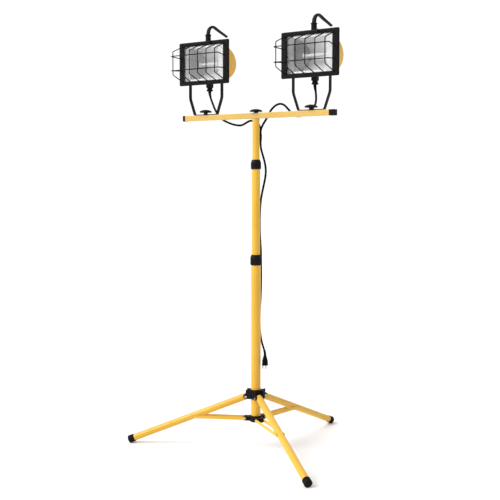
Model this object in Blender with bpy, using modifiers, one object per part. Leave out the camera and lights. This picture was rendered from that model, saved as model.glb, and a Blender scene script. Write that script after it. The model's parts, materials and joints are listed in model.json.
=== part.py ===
"""Twin-head halogen tripod work light, as separate solids in metres, +Z up, floor at z = 0.

The crossbar runs along X and both heads face -Y. Every shape is modelled about the mast's axis
(or, for a head, about its yoke's stud; for a leg, with +X pointing outward) and is then placed
with its origin on the axis of the joint that moves it.
"""

import math

import bmesh
import bpy
from mathutils import Matrix, Vector

# ---- driving dimensions, metres ---------------------------------------------------------
GAP = 0.0003                    # kept between pieces that touch
MAST_SHIFT = Vector((0.0112, -0.1068, 0.0))   # mast axis, so that the object's box is centred

LOWER_TUBE_R = 0.0175
MID_TUBE_R = 0.0150
TOP_TUBE_R = 0.0127
TUBE_WALL = 0.0014
LOWER_TUBE_BOTTOM = 0.1065
LOWER_TUBE_TOP = 0.6900
MID_TUBE_BOTTOM = 0.6000
MID_TUBE_TOP = 1.0320
TOP_TUBE_BOTTOM = 0.9400

COLLAR_LOWER_Z = (0.6750, 0.7130)
COLLAR_UPPER_Z = (1.0200, 1.0540)

BAR_SIDE = 0.0200
BAR_Z = 1.2105                  # height of the crossbar's centre line
BAR_LEFT = -0.3262
BAR_RIGHT = 0.3130
BAR_WALL = 0.0016
CAP_LEFT_LENGTH = 0.0110
CAP_RIGHT_LENGTH = 0.0215
STUD_R = 0.0040
KNOB_R = 0.0230

LEG_AZIMUTH = {"left": 207.24, "rear": 87.24, "front": -32.76}
LEG_R = 0.0125
LEG_PIVOT = Vector((0.0350, 0.0, 0.1940))
LEG_REACH = 0.4814              # radius of the foot's end from the mast
FOOT_R = 0.0143
FOOT_FLAT = 0.0016              # depth of the flat worn under each foot
BRACE_PIVOT = Vector((0.0400, 0.0, 0.1130))
BRACE_JOINT_R = 0.2375          # radius at which a brace meets its leg
BRACE_BAR = (0.0026, 0.0110)    # thickness and height of each flat bar
BRACE_INSIDE = 0.0129           # from the leg's middle plane to a bar's inner face
EAR_THICK = 0.0035
HUB_Z = (0.1856, 0.2204)
HUB_RING_R = 0.0203
LOCK_AZIMUTH = 147.24           # the hub's thumbscrew, midway between the rear and the left leg
PIN_R = 0.0025
PIN_BORE_R = 0.0028

HEAD_X = {"left": -0.2325, "right": 0.2350}   # yoke studs along the crossbar
HEAD_Z = 1.4112                 # middle of the frame
TILT_Z = 1.4050
FRAME_W = 0.2340
FRAME_H = 0.1585
FRAME_FRONT = -0.0140
FRAME_BACK = -0.0062
OPENING_W = 0.1840
OPENING_H = 0.1274
HOUSING_HALF_W = 0.0715
HOUSING_DEPTH = 0.0945
HOUSING_HALF_H = 0.0655
FIN_HEIGHT = 0.0050
YOKE_THICK = 0.0030
YOKE_WIDTH = 0.0150
YOKE_Y = 0.0020                  # middle of the yoke's strip, and the tilt axis
YOKE_BASE_HALF = 0.0530
YOKE_ARM_X = 0.0755
YOKE_BOSS = 0.0002              # how far the rounded arm ends stand proud of the strip
GUARD_WIRE_R = 0.0016
GUARD_FRONT = -0.0695
GUARD_SPACING = 0.0397
HANDLE_Y = 0.0158
HANDLE_ROD_R = 0.0054           # half the rod's thickness at its root
HANDLE_TAPER = 0.25             # share of its thickness lost by the tip
HANDLE_FLATTEN = 1.60           # the rod is this much wider than thick
JUNCTION_Y = 0.0240

CORD_R = 0.0038
LEAD_R = 0.0038
SPLITTER = Vector((-0.0021, 0.0305, 1.1365))
SPLITTER_AZIMUTH = 37.0         # the way its thin side faces
PLUG_RADIUS_OUT = 0.0335        # plug's distance from the mast axis
PLUG_AZIMUTH = 27.24            # midway between the rear and the front leg
PLUG_FACE_Z = 0.3100

TINY = 0.0001                   # merge distance

# ---- routes of the cords, mast frame --------------------------------------------------
LEAD_ROUTES = {
    "left": [
        (-0.2325, 0.0240, 1.3092), (-0.2325, 0.0240, 1.3020), (-0.2270, 0.0236, 1.2830),
        (-0.2160, 0.0230, 1.2600), (-0.2035, 0.0226, 1.2370), (-0.1870, 0.0222, 1.2160),
        (-0.1660, 0.0220, 1.2010), (-0.1400, 0.0220, 1.1900), (-0.1140, 0.0220, 1.1825),
        (-0.0900, 0.0222, 1.1795), (-0.0770, 0.0226, 1.1814), (-0.0635, 0.0232, 1.1872),
        (-0.0500, 0.0238, 1.1932), (-0.0370, 0.0248, 1.1950), (-0.0208, 0.0272, 1.1906),
        (-0.0089, 0.0308, 1.1788), (-0.0046, 0.0333, 1.1630), (-0.0045, 0.0337, 1.1545), (-0.0045, 0.0337, 1.1464),
    ],
    "right": [
        (0.2350, 0.0240, 1.3092), (0.2351, 0.0240, 1.3010), (0.2380, 0.0252, 1.2790),
        (0.2375, 0.0268, 1.2560), (0.2320, 0.0270, 1.2380), (0.2180, 0.0240, 1.2210),
        (0.1980, 0.0205, 1.2095), (0.1780, 0.0188, 1.2040), (0.1600, 0.0186, 1.2050),
        (0.1430, 0.0192, 1.2140), (0.1270, 0.0200, 1.2290), (0.1090, 0.0212, 1.2440),
        (0.0900, 0.0222, 1.2500), (0.0700, 0.0224, 1.2450), (0.0520, 0.0218, 1.2310),
        (0.0400, 0.0208, 1.2130), (0.0298, 0.0214, 1.1985), (0.0190, 0.0228, 1.1860), (0.0098, 0.0245, 1.1745),
        (0.0032, 0.0262, 1.1630), (0.0006, 0.0271, 1.1545), (0.0003, 0.0273, 1.1464),
    ],
}
MAIN_ROUTE = [
    (-0.0021, 0.0305, 1.1266), (-0.0021, 0.0305, 1.1180), (-0.0008, 0.0297, 1.1050), (0.0036, 0.0278, 1.0880),
    (0.0120, 0.0256, 1.0690), (0.0205, 0.0242, 1.0470), (0.0256, 0.0242, 1.0210),
    (0.0252, 0.0232, 0.9960), (0.0212, 0.0208, 0.9700), (0.0155, 0.0192, 0.9440),
    (0.0095, 0.0186, 0.9150), (0.0050, 0.0192, 0.8800), (0.0028, 0.0197, 0.8400),
    (0.0022, 0.0207, 0.8000), (0.0026, 0.0232, 0.7620), (0.0030, 0.0258, 0.7300),
    (0.0036, 0.0262, 0.7000), (0.0046, 0.0254, 0.6700), (0.0056, 0.0242, 0.6350),
    (0.0058, 0.0234, 0.5950), (0.0042, 0.0228, 0.5500), (0.0014, 0.0226, 0.5100),
    (0.0004, 0.0226, 0.4700), (0.0020, 0.0224, 0.4350), (0.0068, 0.0216, 0.4080),
    (0.0142, 0.0198, 0.3870), (0.0224, 0.0172, 0.3720), (0.0278, 0.0157, 0.3610),
    (0.0296, 0.0153, 0.3520), (0.0298, 0.0153, 0.3486), (0.0298, 0.0153, 0.3455),
]

# ---- materials: colour, metallic, roughness ----------------------------------------------
FINISHES = {
    "yellow_paint": ((0.86, 0.45, 0.06), 0.0, 0.35),
    "black_paint": ((0.020, 0.018, 0.018), 0.0, 0.45),
    "black_plastic": ((0.018, 0.017, 0.017), 0.0, 0.55),
    "black_rubber": ((0.015, 0.014, 0.014), 0.0, 0.80),
    "cord_rubber": ((0.012, 0.012, 0.012), 0.0, 0.60),
    "bright_reflector": ((0.86, 0.85, 0.84), 1.0, 0.30),
    "clear_glass": ((0.90, 0.93, 0.94), 0.0, 0.05),
    "quartz": ((0.92, 0.92, 0.90), 0.0, 0.10),
    "ceramic": ((0.80, 0.78, 0.72), 0.0, 0.60),
    "zinc_steel": ((0.55, 0.55, 0.56), 1.0, 0.35),
}


def clear_scene():
    for existing in list(bpy.data.objects):
        bpy.data.objects.remove(existing, do_unlink=True)


def material(name):
    colour, metallic, roughness = FINISHES[name]
    made = bpy.data.materials.get(name) or bpy.data.materials.new(name)
    made.use_nodes = True
    shader = made.node_tree.nodes["Principled BSDF"]
    shader.inputs["Base Color"].default_value = (*colour, 1.0)
    shader.inputs["Metallic"].default_value = metallic
    shader.inputs["Roughness"].default_value = roughness
    made.diffuse_color = (*colour, 1.0)
    return made


# ---- modelling helpers: each returns a temporary object to combine or to place ------------
def temporary(mesh):
    made = bpy.data.objects.new(mesh.name, mesh)
    bpy.context.scene.collection.objects.link(made)
    return made


def from_bmesh(builder, name):
    mesh = bpy.data.meshes.new(name)
    builder.to_mesh(mesh)
    builder.free()
    return temporary(mesh)


def box(low, high, round_edges=0.0, segments=2):
    """A box between two corners, its edges rounded by a Bevel of that radius."""
    low = Vector(low)
    high = Vector(high)
    size = high - low
    builder = bmesh.new()
    bmesh.ops.create_cube(builder, size=1.0)
    bmesh.ops.scale(builder, vec=size, verts=builder.verts)
    bmesh.ops.translate(builder, vec=(low + high) / 2, verts=builder.verts)
    made = from_bmesh(builder, "box")
    if round_edges:
        bevel = made.modifiers.new("round_edges", "BEVEL")
        bevel.width = round_edges
        bevel.segments = segments
        made = baked(made)
    return made


def cylinder(radius, start, end, sides=20, end_radius=None):
    """A cylinder, or a cone where end_radius differs, from one point to another."""
    start = Vector(start)
    end = Vector(end)
    along = end - start
    builder = bmesh.new()
    bmesh.ops.create_cone(
        builder, cap_ends=True, segments=sides, radius1=radius,
        radius2=radius if end_radius is None else end_radius, depth=along.length,
    )
    turn = Vector((0.0, 0.0, 1.0)).rotation_difference(along).to_matrix().to_4x4()
    bmesh.ops.transform(builder, matrix=Matrix.Translation((start + end) / 2) @ turn, verts=builder.verts)
    return from_bmesh(builder, "cylinder")


def turned(profile, sides=24):
    """A closed profile of (radius, height) points, top to bottom down its outer side, turned about Z."""
    builder = bmesh.new()
    corners = [builder.verts.new((radius, 0.0, height)) for radius, height in profile]
    closed = profile[0][0] > TINY and profile[-1][0] > TINY
    for first, second in zip(corners, corners[1:] + corners[:1] if closed else corners[1:]):
        builder.edges.new((first, second))
    made = from_bmesh(builder, "turned")
    screw = made.modifiers.new("turn", "SCREW")
    screw.steps = sides
    screw.render_steps = sides
    screw.use_merge_vertices = True
    screw.merge_threshold = TINY / 2
    return baked(made)


def baked(made):
    """The object with its modifiers applied, as a plain mesh."""
    bpy.context.view_layer.update()
    depsgraph = bpy.context.evaluated_depsgraph_get()
    mesh = bpy.data.meshes.new_from_object(made.evaluated_get(depsgraph))
    matrix = made.matrix_world.copy()
    bpy.data.objects.remove(made, do_unlink=True)
    mesh.transform(matrix)
    builder = bmesh.new()
    builder.from_mesh(mesh)
    bmesh.ops.remove_doubles(builder, verts=builder.verts, dist=TINY / 10)
    bmesh.ops.recalc_face_normals(builder, faces=builder.faces)
    builder.to_mesh(mesh)
    builder.free()
    return temporary(mesh)


def combined(base, others, operation):
    """base with the other solids joined to it (UNION) or cut from it (DIFFERENCE)."""
    for other in others:
        boolean = base.modifiers.new(operation.lower(), "BOOLEAN")
        boolean.operation = operation
        boolean.object = other
        boolean.solver = "EXACT"
    result = baked(base)
    for other in others:
        bpy.data.objects.remove(other, do_unlink=True)
    return result


def joined(base, *others):
    return combined(base, others, "UNION")


def cut(base, *others):
    return combined(base, others, "DIFFERENCE")


def turned_about(made, origin, axis, angle):
    """The solid turned by an angle in radians about an axis through a point."""
    matrix = Matrix.Translation(origin) @ Matrix.Rotation(angle, 4, axis) @ Matrix.Translation(-Vector(origin))
    made.data.transform(matrix)
    return made


def smooth_route(points, spacing):
    """Points every spacing metres along a smooth curve through the route's own points."""
    knots = [Vector(point) for point in points]
    ends = [knots[0] * 2 - knots[1], knots[-1] * 2 - knots[-2]]
    padded = [ends[0]] + knots + [ends[1]]
    dense = []
    for before, start, end, after in zip(padded, padded[1:], padded[2:], padded[3:]):
        for step in range(12):
            t = step / 12
            dense.append(0.5 * (
                2 * start + (end - before) * t
                + (2 * before - 5 * start + 4 * end - after) * t ** 2
                + (3 * start - before - 3 * end + after) * t ** 3
            ))
    dense.append(knots[-1])
    lengths = [0.0]
    for first, second in zip(dense, dense[1:]):
        lengths.append(lengths[-1] + (second - first).length)
    count = max(2, round(lengths[-1] / spacing))
    placed = []
    piece = 0
    for index in range(count + 1):
        wanted = lengths[-1] * index / count
        while piece < len(dense) - 2 and lengths[piece + 1] < wanted:
            piece += 1
        share = (wanted - lengths[piece]) / (lengths[piece + 1] - lengths[piece])
        placed.append(dense[piece].lerp(dense[piece + 1], min(max(share, 0.0), 1.0)))
    return placed


def tube(points, radius, resolution=2, radii=None):
    """A round wire or cord through these points, as a closed mesh."""
    curve = bpy.data.curves.new("tube", "CURVE")
    curve.dimensions = "3D"
    curve.resolution_u = 1
    curve.render_resolution_u = 0
    curve.bevel_depth = radius
    curve.bevel_resolution = resolution
    curve.use_fill_caps = True
    spline = curve.splines.new("POLY")
    spline.points.add(len(points) - 1)
    for index, point in enumerate(points):
        spline.points[index].co = (*point, 1.0)
        spline.points[index].radius = radii[index] if radii else 1.0
    made = bpy.data.objects.new("tube", curve)
    bpy.context.scene.collection.objects.link(made)
    return baked(made)


def flat_bar(centre_line, width, thickness):
    """A flat strip, bent in the XZ plane along a centre line, its width along Y."""
    builder = bmesh.new()
    rows = []
    for x, z in centre_line:
        rows.append([builder.verts.new((x, side * width / 2, z)) for side in (-1, 1)])
    for first, second in zip(rows, rows[1:]):
        builder.faces.new((first[0], first[1], second[1], second[0]))
    made = from_bmesh(builder, "flat_bar")
    solidify = made.modifiers.new("thickness", "SOLIDIFY")
    solidify.thickness = thickness
    solidify.offset = 0.0
    solidify.use_even_offset = True
    return baked(made)


def rounded_corner(before, corner, after, radius, steps=3):
    """Points of an arc that rounds the corner of a polyline in a plane."""
    corner = Vector(corner)
    inward = (Vector(before) - corner).normalized()
    outward = (Vector(after) - corner).normalized()
    half = inward.angle(outward) / 2
    reach = radius / math.tan(half)
    centre = corner + (inward + outward).normalized() * radius / math.sin(half)
    start = corner + inward * reach - centre
    end = corner + outward * reach - centre
    arc = [start.normalized().slerp(end.normalized(), step / steps) for step in range(steps + 1)]
    return [centre + direction * radius for direction in arc]


def place(name, solid, finish, origin=(0.0, 0.0, 0.0), offset=(0.0, 0.0, 0.0), yaw=0.0, sharp=35.0):
    """Turns a solid (or a mesh already placed once) into the named sub-part, with its origin on its joint."""
    origin = Vector(origin)
    if isinstance(solid, bpy.types.Object):
        mesh = solid.data
        bpy.data.objects.remove(solid, do_unlink=True)
        mesh.transform(Matrix.Translation(-origin))
        mesh.name = name
        mesh.materials.clear()
        mesh.materials.append(material(finish))
        mesh.shade_smooth()
        mesh.set_sharp_from_angle(angle=math.radians(sharp))
    else:
        mesh = solid
    made = bpy.data.objects.new(name, mesh)
    turn = Matrix.Rotation(math.radians(yaw), 4, "Z")
    made.matrix_local = Matrix.Translation(Vector(offset)) @ turn @ Matrix.Translation(origin)
    made.parent = ROOT
    PARTS.objects.link(made)
    return mesh


# ---- mast ----------------------------------------------------------------------------------
def hollow_tube(radius, bottom, top):
    inner = radius - TUBE_WALL
    return turned([(radius, top), (radius, bottom), (inner, bottom), (inner, top)])


def make_mast():
    place("lower_tube", hollow_tube(LOWER_TUBE_R, LOWER_TUBE_BOTTOM, LOWER_TUBE_TOP), "yellow_paint")
    place("mid_tube", hollow_tube(MID_TUBE_R, MID_TUBE_BOTTOM, MID_TUBE_TOP), "yellow_paint")
    top = BAR_Z - BAR_SIDE / 2 - 0.0016
    place("top_tube", hollow_tube(TOP_TUBE_R, TOP_TUBE_BOTTOM, top), "yellow_paint")


def make_collar(name, outer_radius, z_range, outer_tube, outer_top, inner_tube):
    """A twist-lock collar over the end of the wider tube, closed down onto the narrower one."""
    bottom, top = z_range
    bore = outer_tube + GAP
    neck = inner_tube + GAP
    step = outer_top + GAP
    rim = 0.0012
    profile = [
        (inner_tube + 0.0020, top), (outer_radius - 0.0015, top - 0.0085),
        (outer_radius, top - 0.0105), (outer_radius, bottom + rim), (outer_radius - rim, bottom),
        (bore, bottom), (bore, step), (neck, step), (neck, top),
    ]
    place(name, turned(profile), "black_plastic", origin=(0.0, 0.0, bottom))


def make_collars():
    make_collar("collar_lower", 0.0205, COLLAR_LOWER_Z, LOWER_TUBE_R, LOWER_TUBE_TOP, MID_TUBE_R)
    make_collar("collar_upper", 0.0185, COLLAR_UPPER_Z, MID_TUBE_R, MID_TUBE_TOP, TOP_TUBE_R)


def make_mast_plug():
    """The plug in the top tube's end, with the threaded stud that the crossbar drops over."""
    seat = BAR_Z - BAR_SIDE / 2 - GAP
    inner = TOP_TUBE_R - TUBE_WALL - GAP
    rim = seat - 0.0010
    stud_top = BAR_Z + BAR_SIDE / 2 + 0.0080
    profile = [
        (0.0, stud_top), (STUD_R, stud_top), (STUD_R, seat), (TOP_TUBE_R, seat), (TOP_TUBE_R, rim),
        (inner, rim), (inner, seat - 0.0250), (0.0, seat - 0.0250),
    ]
    place("mast_plug", turned(profile, 16), "zinc_steel")


# ---- tripod ---------------------------------------------------------------------------------
def leg_slope():
    """Angle of a leg below the horizontal, radians, with the foot's rim FOOT_FLAT below the floor."""
    run = LEG_REACH - LEG_PIVOT.x
    slope = 0.4
    for _ in range(8):
        end_z = FOOT_R * math.cos(slope) - FOOT_FLAT
        slope = math.atan2(LEG_PIVOT.z - end_z, run)
    return slope


def make_leg_hub():
    """The sliding hub: a ring on the lower tube with a pair of ears for each leg."""
    bottom, top = HUB_Z
    ear_out = BRACE_INSIDE + EAR_THICK
    block_face = LEG_PIVOT.x - LEG_R - 0.0004
    hub = cylinder(HUB_RING_R, (0, 0, bottom), (0, 0, top), 24)
    tip_r = 0.0095
    ears = []
    for azimuth in LEG_AZIMUTH.values():
        solids = [box((0.0100, -ear_out, bottom), (block_face, ear_out, top), 0.0008, 1)]
        for side in (-1, 1):
            low_y = min(side * BRACE_INSIDE, side * ear_out)
            high_y = max(side * BRACE_INSIDE, side * ear_out)
            solids.append(box((block_face - 0.0030, low_y, bottom + 0.0006),
                              (LEG_PIVOT.x, high_y, top - 0.0006)))
            solids.append(cylinder(tip_r, (LEG_PIVOT.x, low_y, LEG_PIVOT.z + 0.0020),
                                   (LEG_PIVOT.x, high_y, LEG_PIVOT.z + 0.0020), 16))
        ear = joined(*solids)
        bore = cylinder(PIN_BORE_R, (LEG_PIVOT.x, -0.03, LEG_PIVOT.z), (LEG_PIVOT.x, 0.03, LEG_PIVOT.z), 12)
        ears.append(turned_about(cut(ear, bore), (0, 0, 0), "Z", math.radians(azimuth)))
    hub = joined(hub, *ears)
    tube_bore = cylinder(LOWER_TUBE_R + GAP, (0, 0, bottom - 0.01), (0, 0, top + 0.01), 24)
    screw_bore = turned_about(
        cylinder(PIN_BORE_R, (0.0100, 0, (bottom + top) / 2), (0.0300, 0, (bottom + top) / 2), 12),
        (0, 0, 0), "Z", math.radians(LOCK_AZIMUTH),
    )
    place("leg_hub", cut(hub, tube_bore, screw_bore), "black_plastic", origin=(0, 0, bottom))


def make_hub_lock_screw():
    """The thumbscrew that clamps the leg hub on the mast, on the side away from the legs."""
    z = (HUB_Z[0] + HUB_Z[1]) / 2
    shank = cylinder(PIN_R, (LOWER_TUBE_R + GAP, 0, z), (0.0300, 0, z), 12)
    head = cylinder(0.0080, (0.0250, 0, z), (0.0340, 0, z), 16)
    wings = box((0.0280, -0.0115, z - 0.0022), (0.0390, 0.0115, z + 0.0022), 0.0012)
    place("hub_lock_screw", joined(head, shank, wings), "black_plastic", origin=(0.0300, 0, z), yaw=LOCK_AZIMUTH)


def make_legs():
    slope = leg_slope()
    length = (LEG_REACH - LEG_PIVOT.x) / math.cos(slope)
    tube_end = length - 0.0035
    inner = LEG_R - 0.0012
    angles = [step * math.pi / 8 for step in range(4)]
    dome = [(LEG_R * math.sin(angle), LEG_R * math.cos(angle)) for angle in angles]
    bore = [(inner * math.sin(angle), inner * math.cos(angle)) for angle in reversed(angles)]
    profile = dome + [(LEG_R, 0.0), (LEG_R, -tube_end), (inner, -tube_end), (inner, 0.0)] + bore
    foot_inner = LEG_R + GAP
    foot_profile = [
        (foot_inner, -length + 0.0240), (FOOT_R - 0.0006, -length + 0.0240), (FOOT_R, -length + 0.0230),
        (FOOT_R, -length + 0.0015), (FOOT_R - 0.0015, -length), (0.0, -length),
        (0.0, -length + 0.0032), (foot_inner, -length + 0.0032),
    ]
    for name, azimuth in LEG_AZIMUTH.items():
        leg = turned(profile, 20)
        pin_bore = cylinder(PIN_BORE_R, (0, -0.03, 0), (0, 0.03, 0), 12)
        leg = cut(leg, pin_bore)
        foot = turned(foot_profile, 20)
        for solid in (leg, foot):
            turned_about(solid, (0, 0, 0), "Y", slope - math.pi / 2)
            solid.data.transform(Matrix.Translation(LEG_PIVOT))
        floor = box((0.3, -0.1, -0.05), (0.6, 0.1, 0.0))
        place(f"leg_{name}", leg, "yellow_paint", origin=LEG_PIVOT, yaw=azimuth)
        place(f"foot_{name}", cut(foot, floor), "black_rubber", origin=LEG_PIVOT, yaw=azimuth)


def pin(half_length, radius, head_radius, head_height, z, x):
    """A pin across Y with a flat head at each end."""
    solids = [cylinder(radius, (x, -half_length - head_height, z), (x, half_length + head_height, z), 12)]
    for side in (-1, 1):
        solids.append(cylinder(head_radius, (x, side * half_length, z),
                               (x, side * (half_length + head_height), z), 12))
    return joined(*solids)


def make_leg_pins():
    half = BRACE_INSIDE + EAR_THICK + GAP
    mesh = pin(half, PIN_R, 0.0045, 0.0018, LEG_PIVOT.z, LEG_PIVOT.x)
    for name, azimuth in LEG_AZIMUTH.items():
        mesh = place(f"leg_pin_{name}", mesh, "zinc_steel", origin=LEG_PIVOT, yaw=azimuth)


def make_strut_hub():
    """The fixed hub at the mast's foot: a cup round the tube with a tongue for each brace."""
    low = BRACE_PIVOT.z - 0.0115
    high = BRACE_PIVOT.z + 0.0110
    tongue_r = 0.0080
    half = BRACE_INSIDE - 0.0004
    hub = cylinder(0.0212, (0, 0, low), (0, 0, high), 24)
    tongues = []
    for azimuth in LEG_AZIMUTH.values():
        web = box((0.0100, -half, BRACE_PIVOT.z - tongue_r), (BRACE_PIVOT.x, half, BRACE_PIVOT.z + tongue_r))
        tip = cylinder(tongue_r, (BRACE_PIVOT.x, -half, BRACE_PIVOT.z), (BRACE_PIVOT.x, half, BRACE_PIVOT.z), 16)
        bore = cylinder(PIN_BORE_R, (BRACE_PIVOT.x, -0.03, BRACE_PIVOT.z), (BRACE_PIVOT.x, 0.03, BRACE_PIVOT.z), 12)
        tongues.append(turned_about(cut(joined(web, tip), bore), (0, 0, 0), "Z", math.radians(azimuth)))
    hub = joined(hub, *tongues)
    socket = cylinder(LOWER_TUBE_R + GAP, (0, 0, LOWER_TUBE_BOTTOM - GAP), (0, 0, high + 0.01), 24)
    place("strut_hub", cut(hub, socket), "black_plastic")


def make_braces():
    """Each brace is a pair of flat bars swaged onto one rivet, with a rivet head at the leg's side."""
    thick, height = BRACE_BAR
    joint_z = BRACE_PIVOT.z
    drop = BRACE_PIVOT.z - (LEG_PIVOT.z - (BRACE_JOINT_R - LEG_PIVOT.x) * math.tan(leg_slope()))
    span = BRACE_JOINT_R - BRACE_PIVOT.x
    reach = BRACE_PIVOT.x + math.hypot(span, drop)
    rivet = pin(BRACE_INSIDE + thick, PIN_R, 0.0042, 0.0016, BRACE_PIVOT.z, BRACE_PIVOT.x)
    solids = [rivet]
    for side in (-1, 1):
        near = side * BRACE_INSIDE
        far = side * (BRACE_INSIDE + thick)
        low_y, high_y = min(near, far), max(near, far)
        bar = box((BRACE_PIVOT.x, low_y, joint_z - height / 2), (reach, high_y, joint_z + height / 2))
        ends = [
            cylinder(height / 2, (x, low_y, joint_z), (x, high_y, joint_z), 12) for x in (BRACE_PIVOT.x, reach)
        ]
        head_end = far + side * 0.0016
        head = cylinder(0.0042, (reach, near + side * 0.001, joint_z), (reach, head_end, joint_z), 10)
        solids.append(joined(bar, *ends, head))
    mesh = turned_about(joined(*solids), BRACE_PIVOT, "Y", math.atan2(drop, span))
    for name, azimuth in LEG_AZIMUTH.items():
        mesh = place(f"brace_{name}", mesh, "yellow_paint", origin=BRACE_PIVOT, yaw=azimuth)


# ---- crossbar -------------------------------------------------------------------------------
def make_crossbar():
    half = BAR_SIDE / 2
    bar = box((BAR_LEFT, -half, BAR_Z - half), (BAR_RIGHT, half, BAR_Z + half), 0.0018, 2)
    inner = half - BAR_WALL
    hollow = box((BAR_LEFT - 0.01, -inner, BAR_Z - inner), (BAR_RIGHT + 0.01, inner, BAR_Z + inner))
    bores = [
        cylinder(STUD_R + GAP, (x, 0, BAR_Z - 0.03), (x, 0, BAR_Z + 0.03), 16)
        for x in (0.0, HEAD_X["left"], HEAD_X["right"])
    ]
    place("crossbar", cut(bar, hollow, *bores), "yellow_paint", origin=(0, 0, BAR_Z - half))


def make_end_cap(name, bar_end, length):
    """A plastic cap over the bar's end, with a spigot inside it."""
    side = 1 if bar_end > 0 else -1
    half = BAR_SIDE / 2
    spigot = half - BAR_WALL - GAP
    ends = sorted((bar_end + side * GAP, bar_end + side * length))
    cap = box((ends[0], -half - 0.0004, BAR_Z - half - 0.0004), (ends[1], half + 0.0004, BAR_Z + half + 0.0004),
              0.0016, 2)
    inside = sorted((bar_end - side * 0.0150, bar_end + side * 0.0030))
    neck = box((inside[0], -spigot, BAR_Z - spigot), (inside[1], spigot, BAR_Z + spigot))
    place(name, joined(cap, neck), "black_plastic")


def knob_profile(seat, underside, top, stem_radius, stud_bottom):
    """A mushroom knob: a domed disc on a stem, with or without a threaded stud below its seat."""
    rise = top - underside
    dome = [
        (0.0, top), (KNOB_R * 0.55, top - rise * 0.15), (KNOB_R * 0.88, top - rise * 0.48),
        (KNOB_R, top - rise * 0.80), (KNOB_R * 0.97, underside), (stem_radius, underside - 0.0004),
        (stem_radius, seat),
    ]
    return dome + ([(STUD_R, seat), (STUD_R, stud_bottom), (0.0, stud_bottom)] if stud_bottom else [])


def make_knobs():
    bar_top = BAR_Z + BAR_SIDE / 2
    seat = bar_top + GAP
    stud_top = bar_top + 0.0080
    nut_bore = STUD_R + GAP
    profile = knob_profile(seat, 1.2245, 1.2345, 0.0070, None)
    profile += [(nut_bore, seat), (nut_bore, stud_top + GAP), (0.0, stud_top + GAP)]
    place("mast_knob", turned(profile, 20), "black_plastic", origin=(0, 0, seat))
    yoke_seat = bar_top + 2 * GAP + YOKE_THICK
    mesh = turned(knob_profile(yoke_seat, 1.2300, 1.2405, 0.0072, BAR_Z - BAR_SIDE / 2 + 0.0030), 20)
    for name, x in HEAD_X.items():
        mesh = place(f"yoke_knob_{name}", mesh, "black_plastic", origin=(0, 0, yoke_seat), offset=(x, 0, 0))


# ---- heads, modelled about the yoke's stud -------------------------------------------------
def make_yokes():
    base_z = BAR_Z + BAR_SIDE / 2 + GAP + YOKE_THICK / 2
    half = [(0.0, base_z)]
    foot = Vector((YOKE_BASE_HALF, 0.0, base_z))
    knee = Vector((YOKE_ARM_X, 0.0, 1.2830))
    top = Vector((YOKE_ARM_X, 0.0, TILT_Z))
    for point in rounded_corner((0.0, 0.0, base_z), foot, knee, 0.0050):
        half.append((point.x, point.z))
    for point in rounded_corner(foot, knee, top, 0.0450, 4):
        half.append((point.x, point.z))
    half.append((top.x, top.z))
    line = [(-x, z) for x, z in reversed(half[1:])] + half
    solids = [flat_bar(line, YOKE_WIDTH, YOKE_THICK)]
    reach = YOKE_ARM_X + YOKE_THICK / 2 + YOKE_BOSS
    near = YOKE_ARM_X - YOKE_THICK / 2 - YOKE_BOSS
    for side in (-1, 1):
        solids.append(cylinder(YOKE_WIDTH / 2 + 0.0002, (side * near, 0, TILT_Z), (side * reach, 0, TILT_Z), 20))
    yoke = joined(*solids)
    yoke.data.transform(Matrix.Translation((0, YOKE_Y, 0)))
    pivot_bore = cylinder(PIN_BORE_R, (-0.1, YOKE_Y, TILT_Z), (0.1, YOKE_Y, TILT_Z), 12)
    stud_bore = cylinder(STUD_R + GAP, (0, 0, base_z - 0.01), (0, 0, base_z + 0.01), 16)
    mesh = cut(yoke, pivot_bore, stud_bore)
    for name, x in HEAD_X.items():
        mesh = place(f"yoke_{name}", mesh, "black_paint", origin=(0, 0, base_z), offset=(x, 0, 0))


def make_tilt_bolts():
    inner = HOUSING_HALF_W - 0.0040
    head = YOKE_ARM_X + YOKE_THICK / 2 + YOKE_BOSS + GAP
    for side, label in ((-1, "outer"), (1, "inner")):
        shank = cylinder(PIN_R, (side * inner, YOKE_Y, TILT_Z), (side * (head + 0.0020), YOKE_Y, TILT_Z), 12)
        cap = cylinder(0.0052, (side * head, YOKE_Y, TILT_Z), (side * (head + 0.0040), YOKE_Y, TILT_Z), 6)
        mesh = joined(cap, shank)
        for name, x in HEAD_X.items():
            end = label if name == "left" else {"outer": "inner", "inner": "outer"}[label]
            mesh = place(f"tilt_bolt_{name}_{end}", mesh, "zinc_steel", origin=(0, YOKE_Y, TILT_Z), offset=(x, 0, 0))


def housing_prism(depth, half_height, half_width, front, steps=14):
    """A solid half ellipse in the YZ plane, extruded along X and open to no side."""
    outline = []
    for step in range(steps + 1):
        angle = math.pi / 2 - math.pi * step / steps
        outline.append((depth * math.cos(angle), HEAD_Z + half_height * math.sin(angle)))
    outline = [(front, HEAD_Z + half_height)] + outline + [(front, HEAD_Z - half_height)]
    builder = bmesh.new()
    corners = [builder.verts.new((-half_width, y, z)) for y, z in outline]
    face = builder.faces.new(corners)
    moved = bmesh.ops.extrude_face_region(builder, geom=[face])
    for vert in (v for v in moved["geom"] if isinstance(v, bmesh.types.BMVert)):
        vert.co.x = half_width
    bmesh.ops.remove_doubles(builder, verts=builder.verts, dist=TINY / 2)
    bmesh.ops.recalc_face_normals(builder, faces=builder.faces)
    return from_bmesh(builder, "prism")


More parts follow.
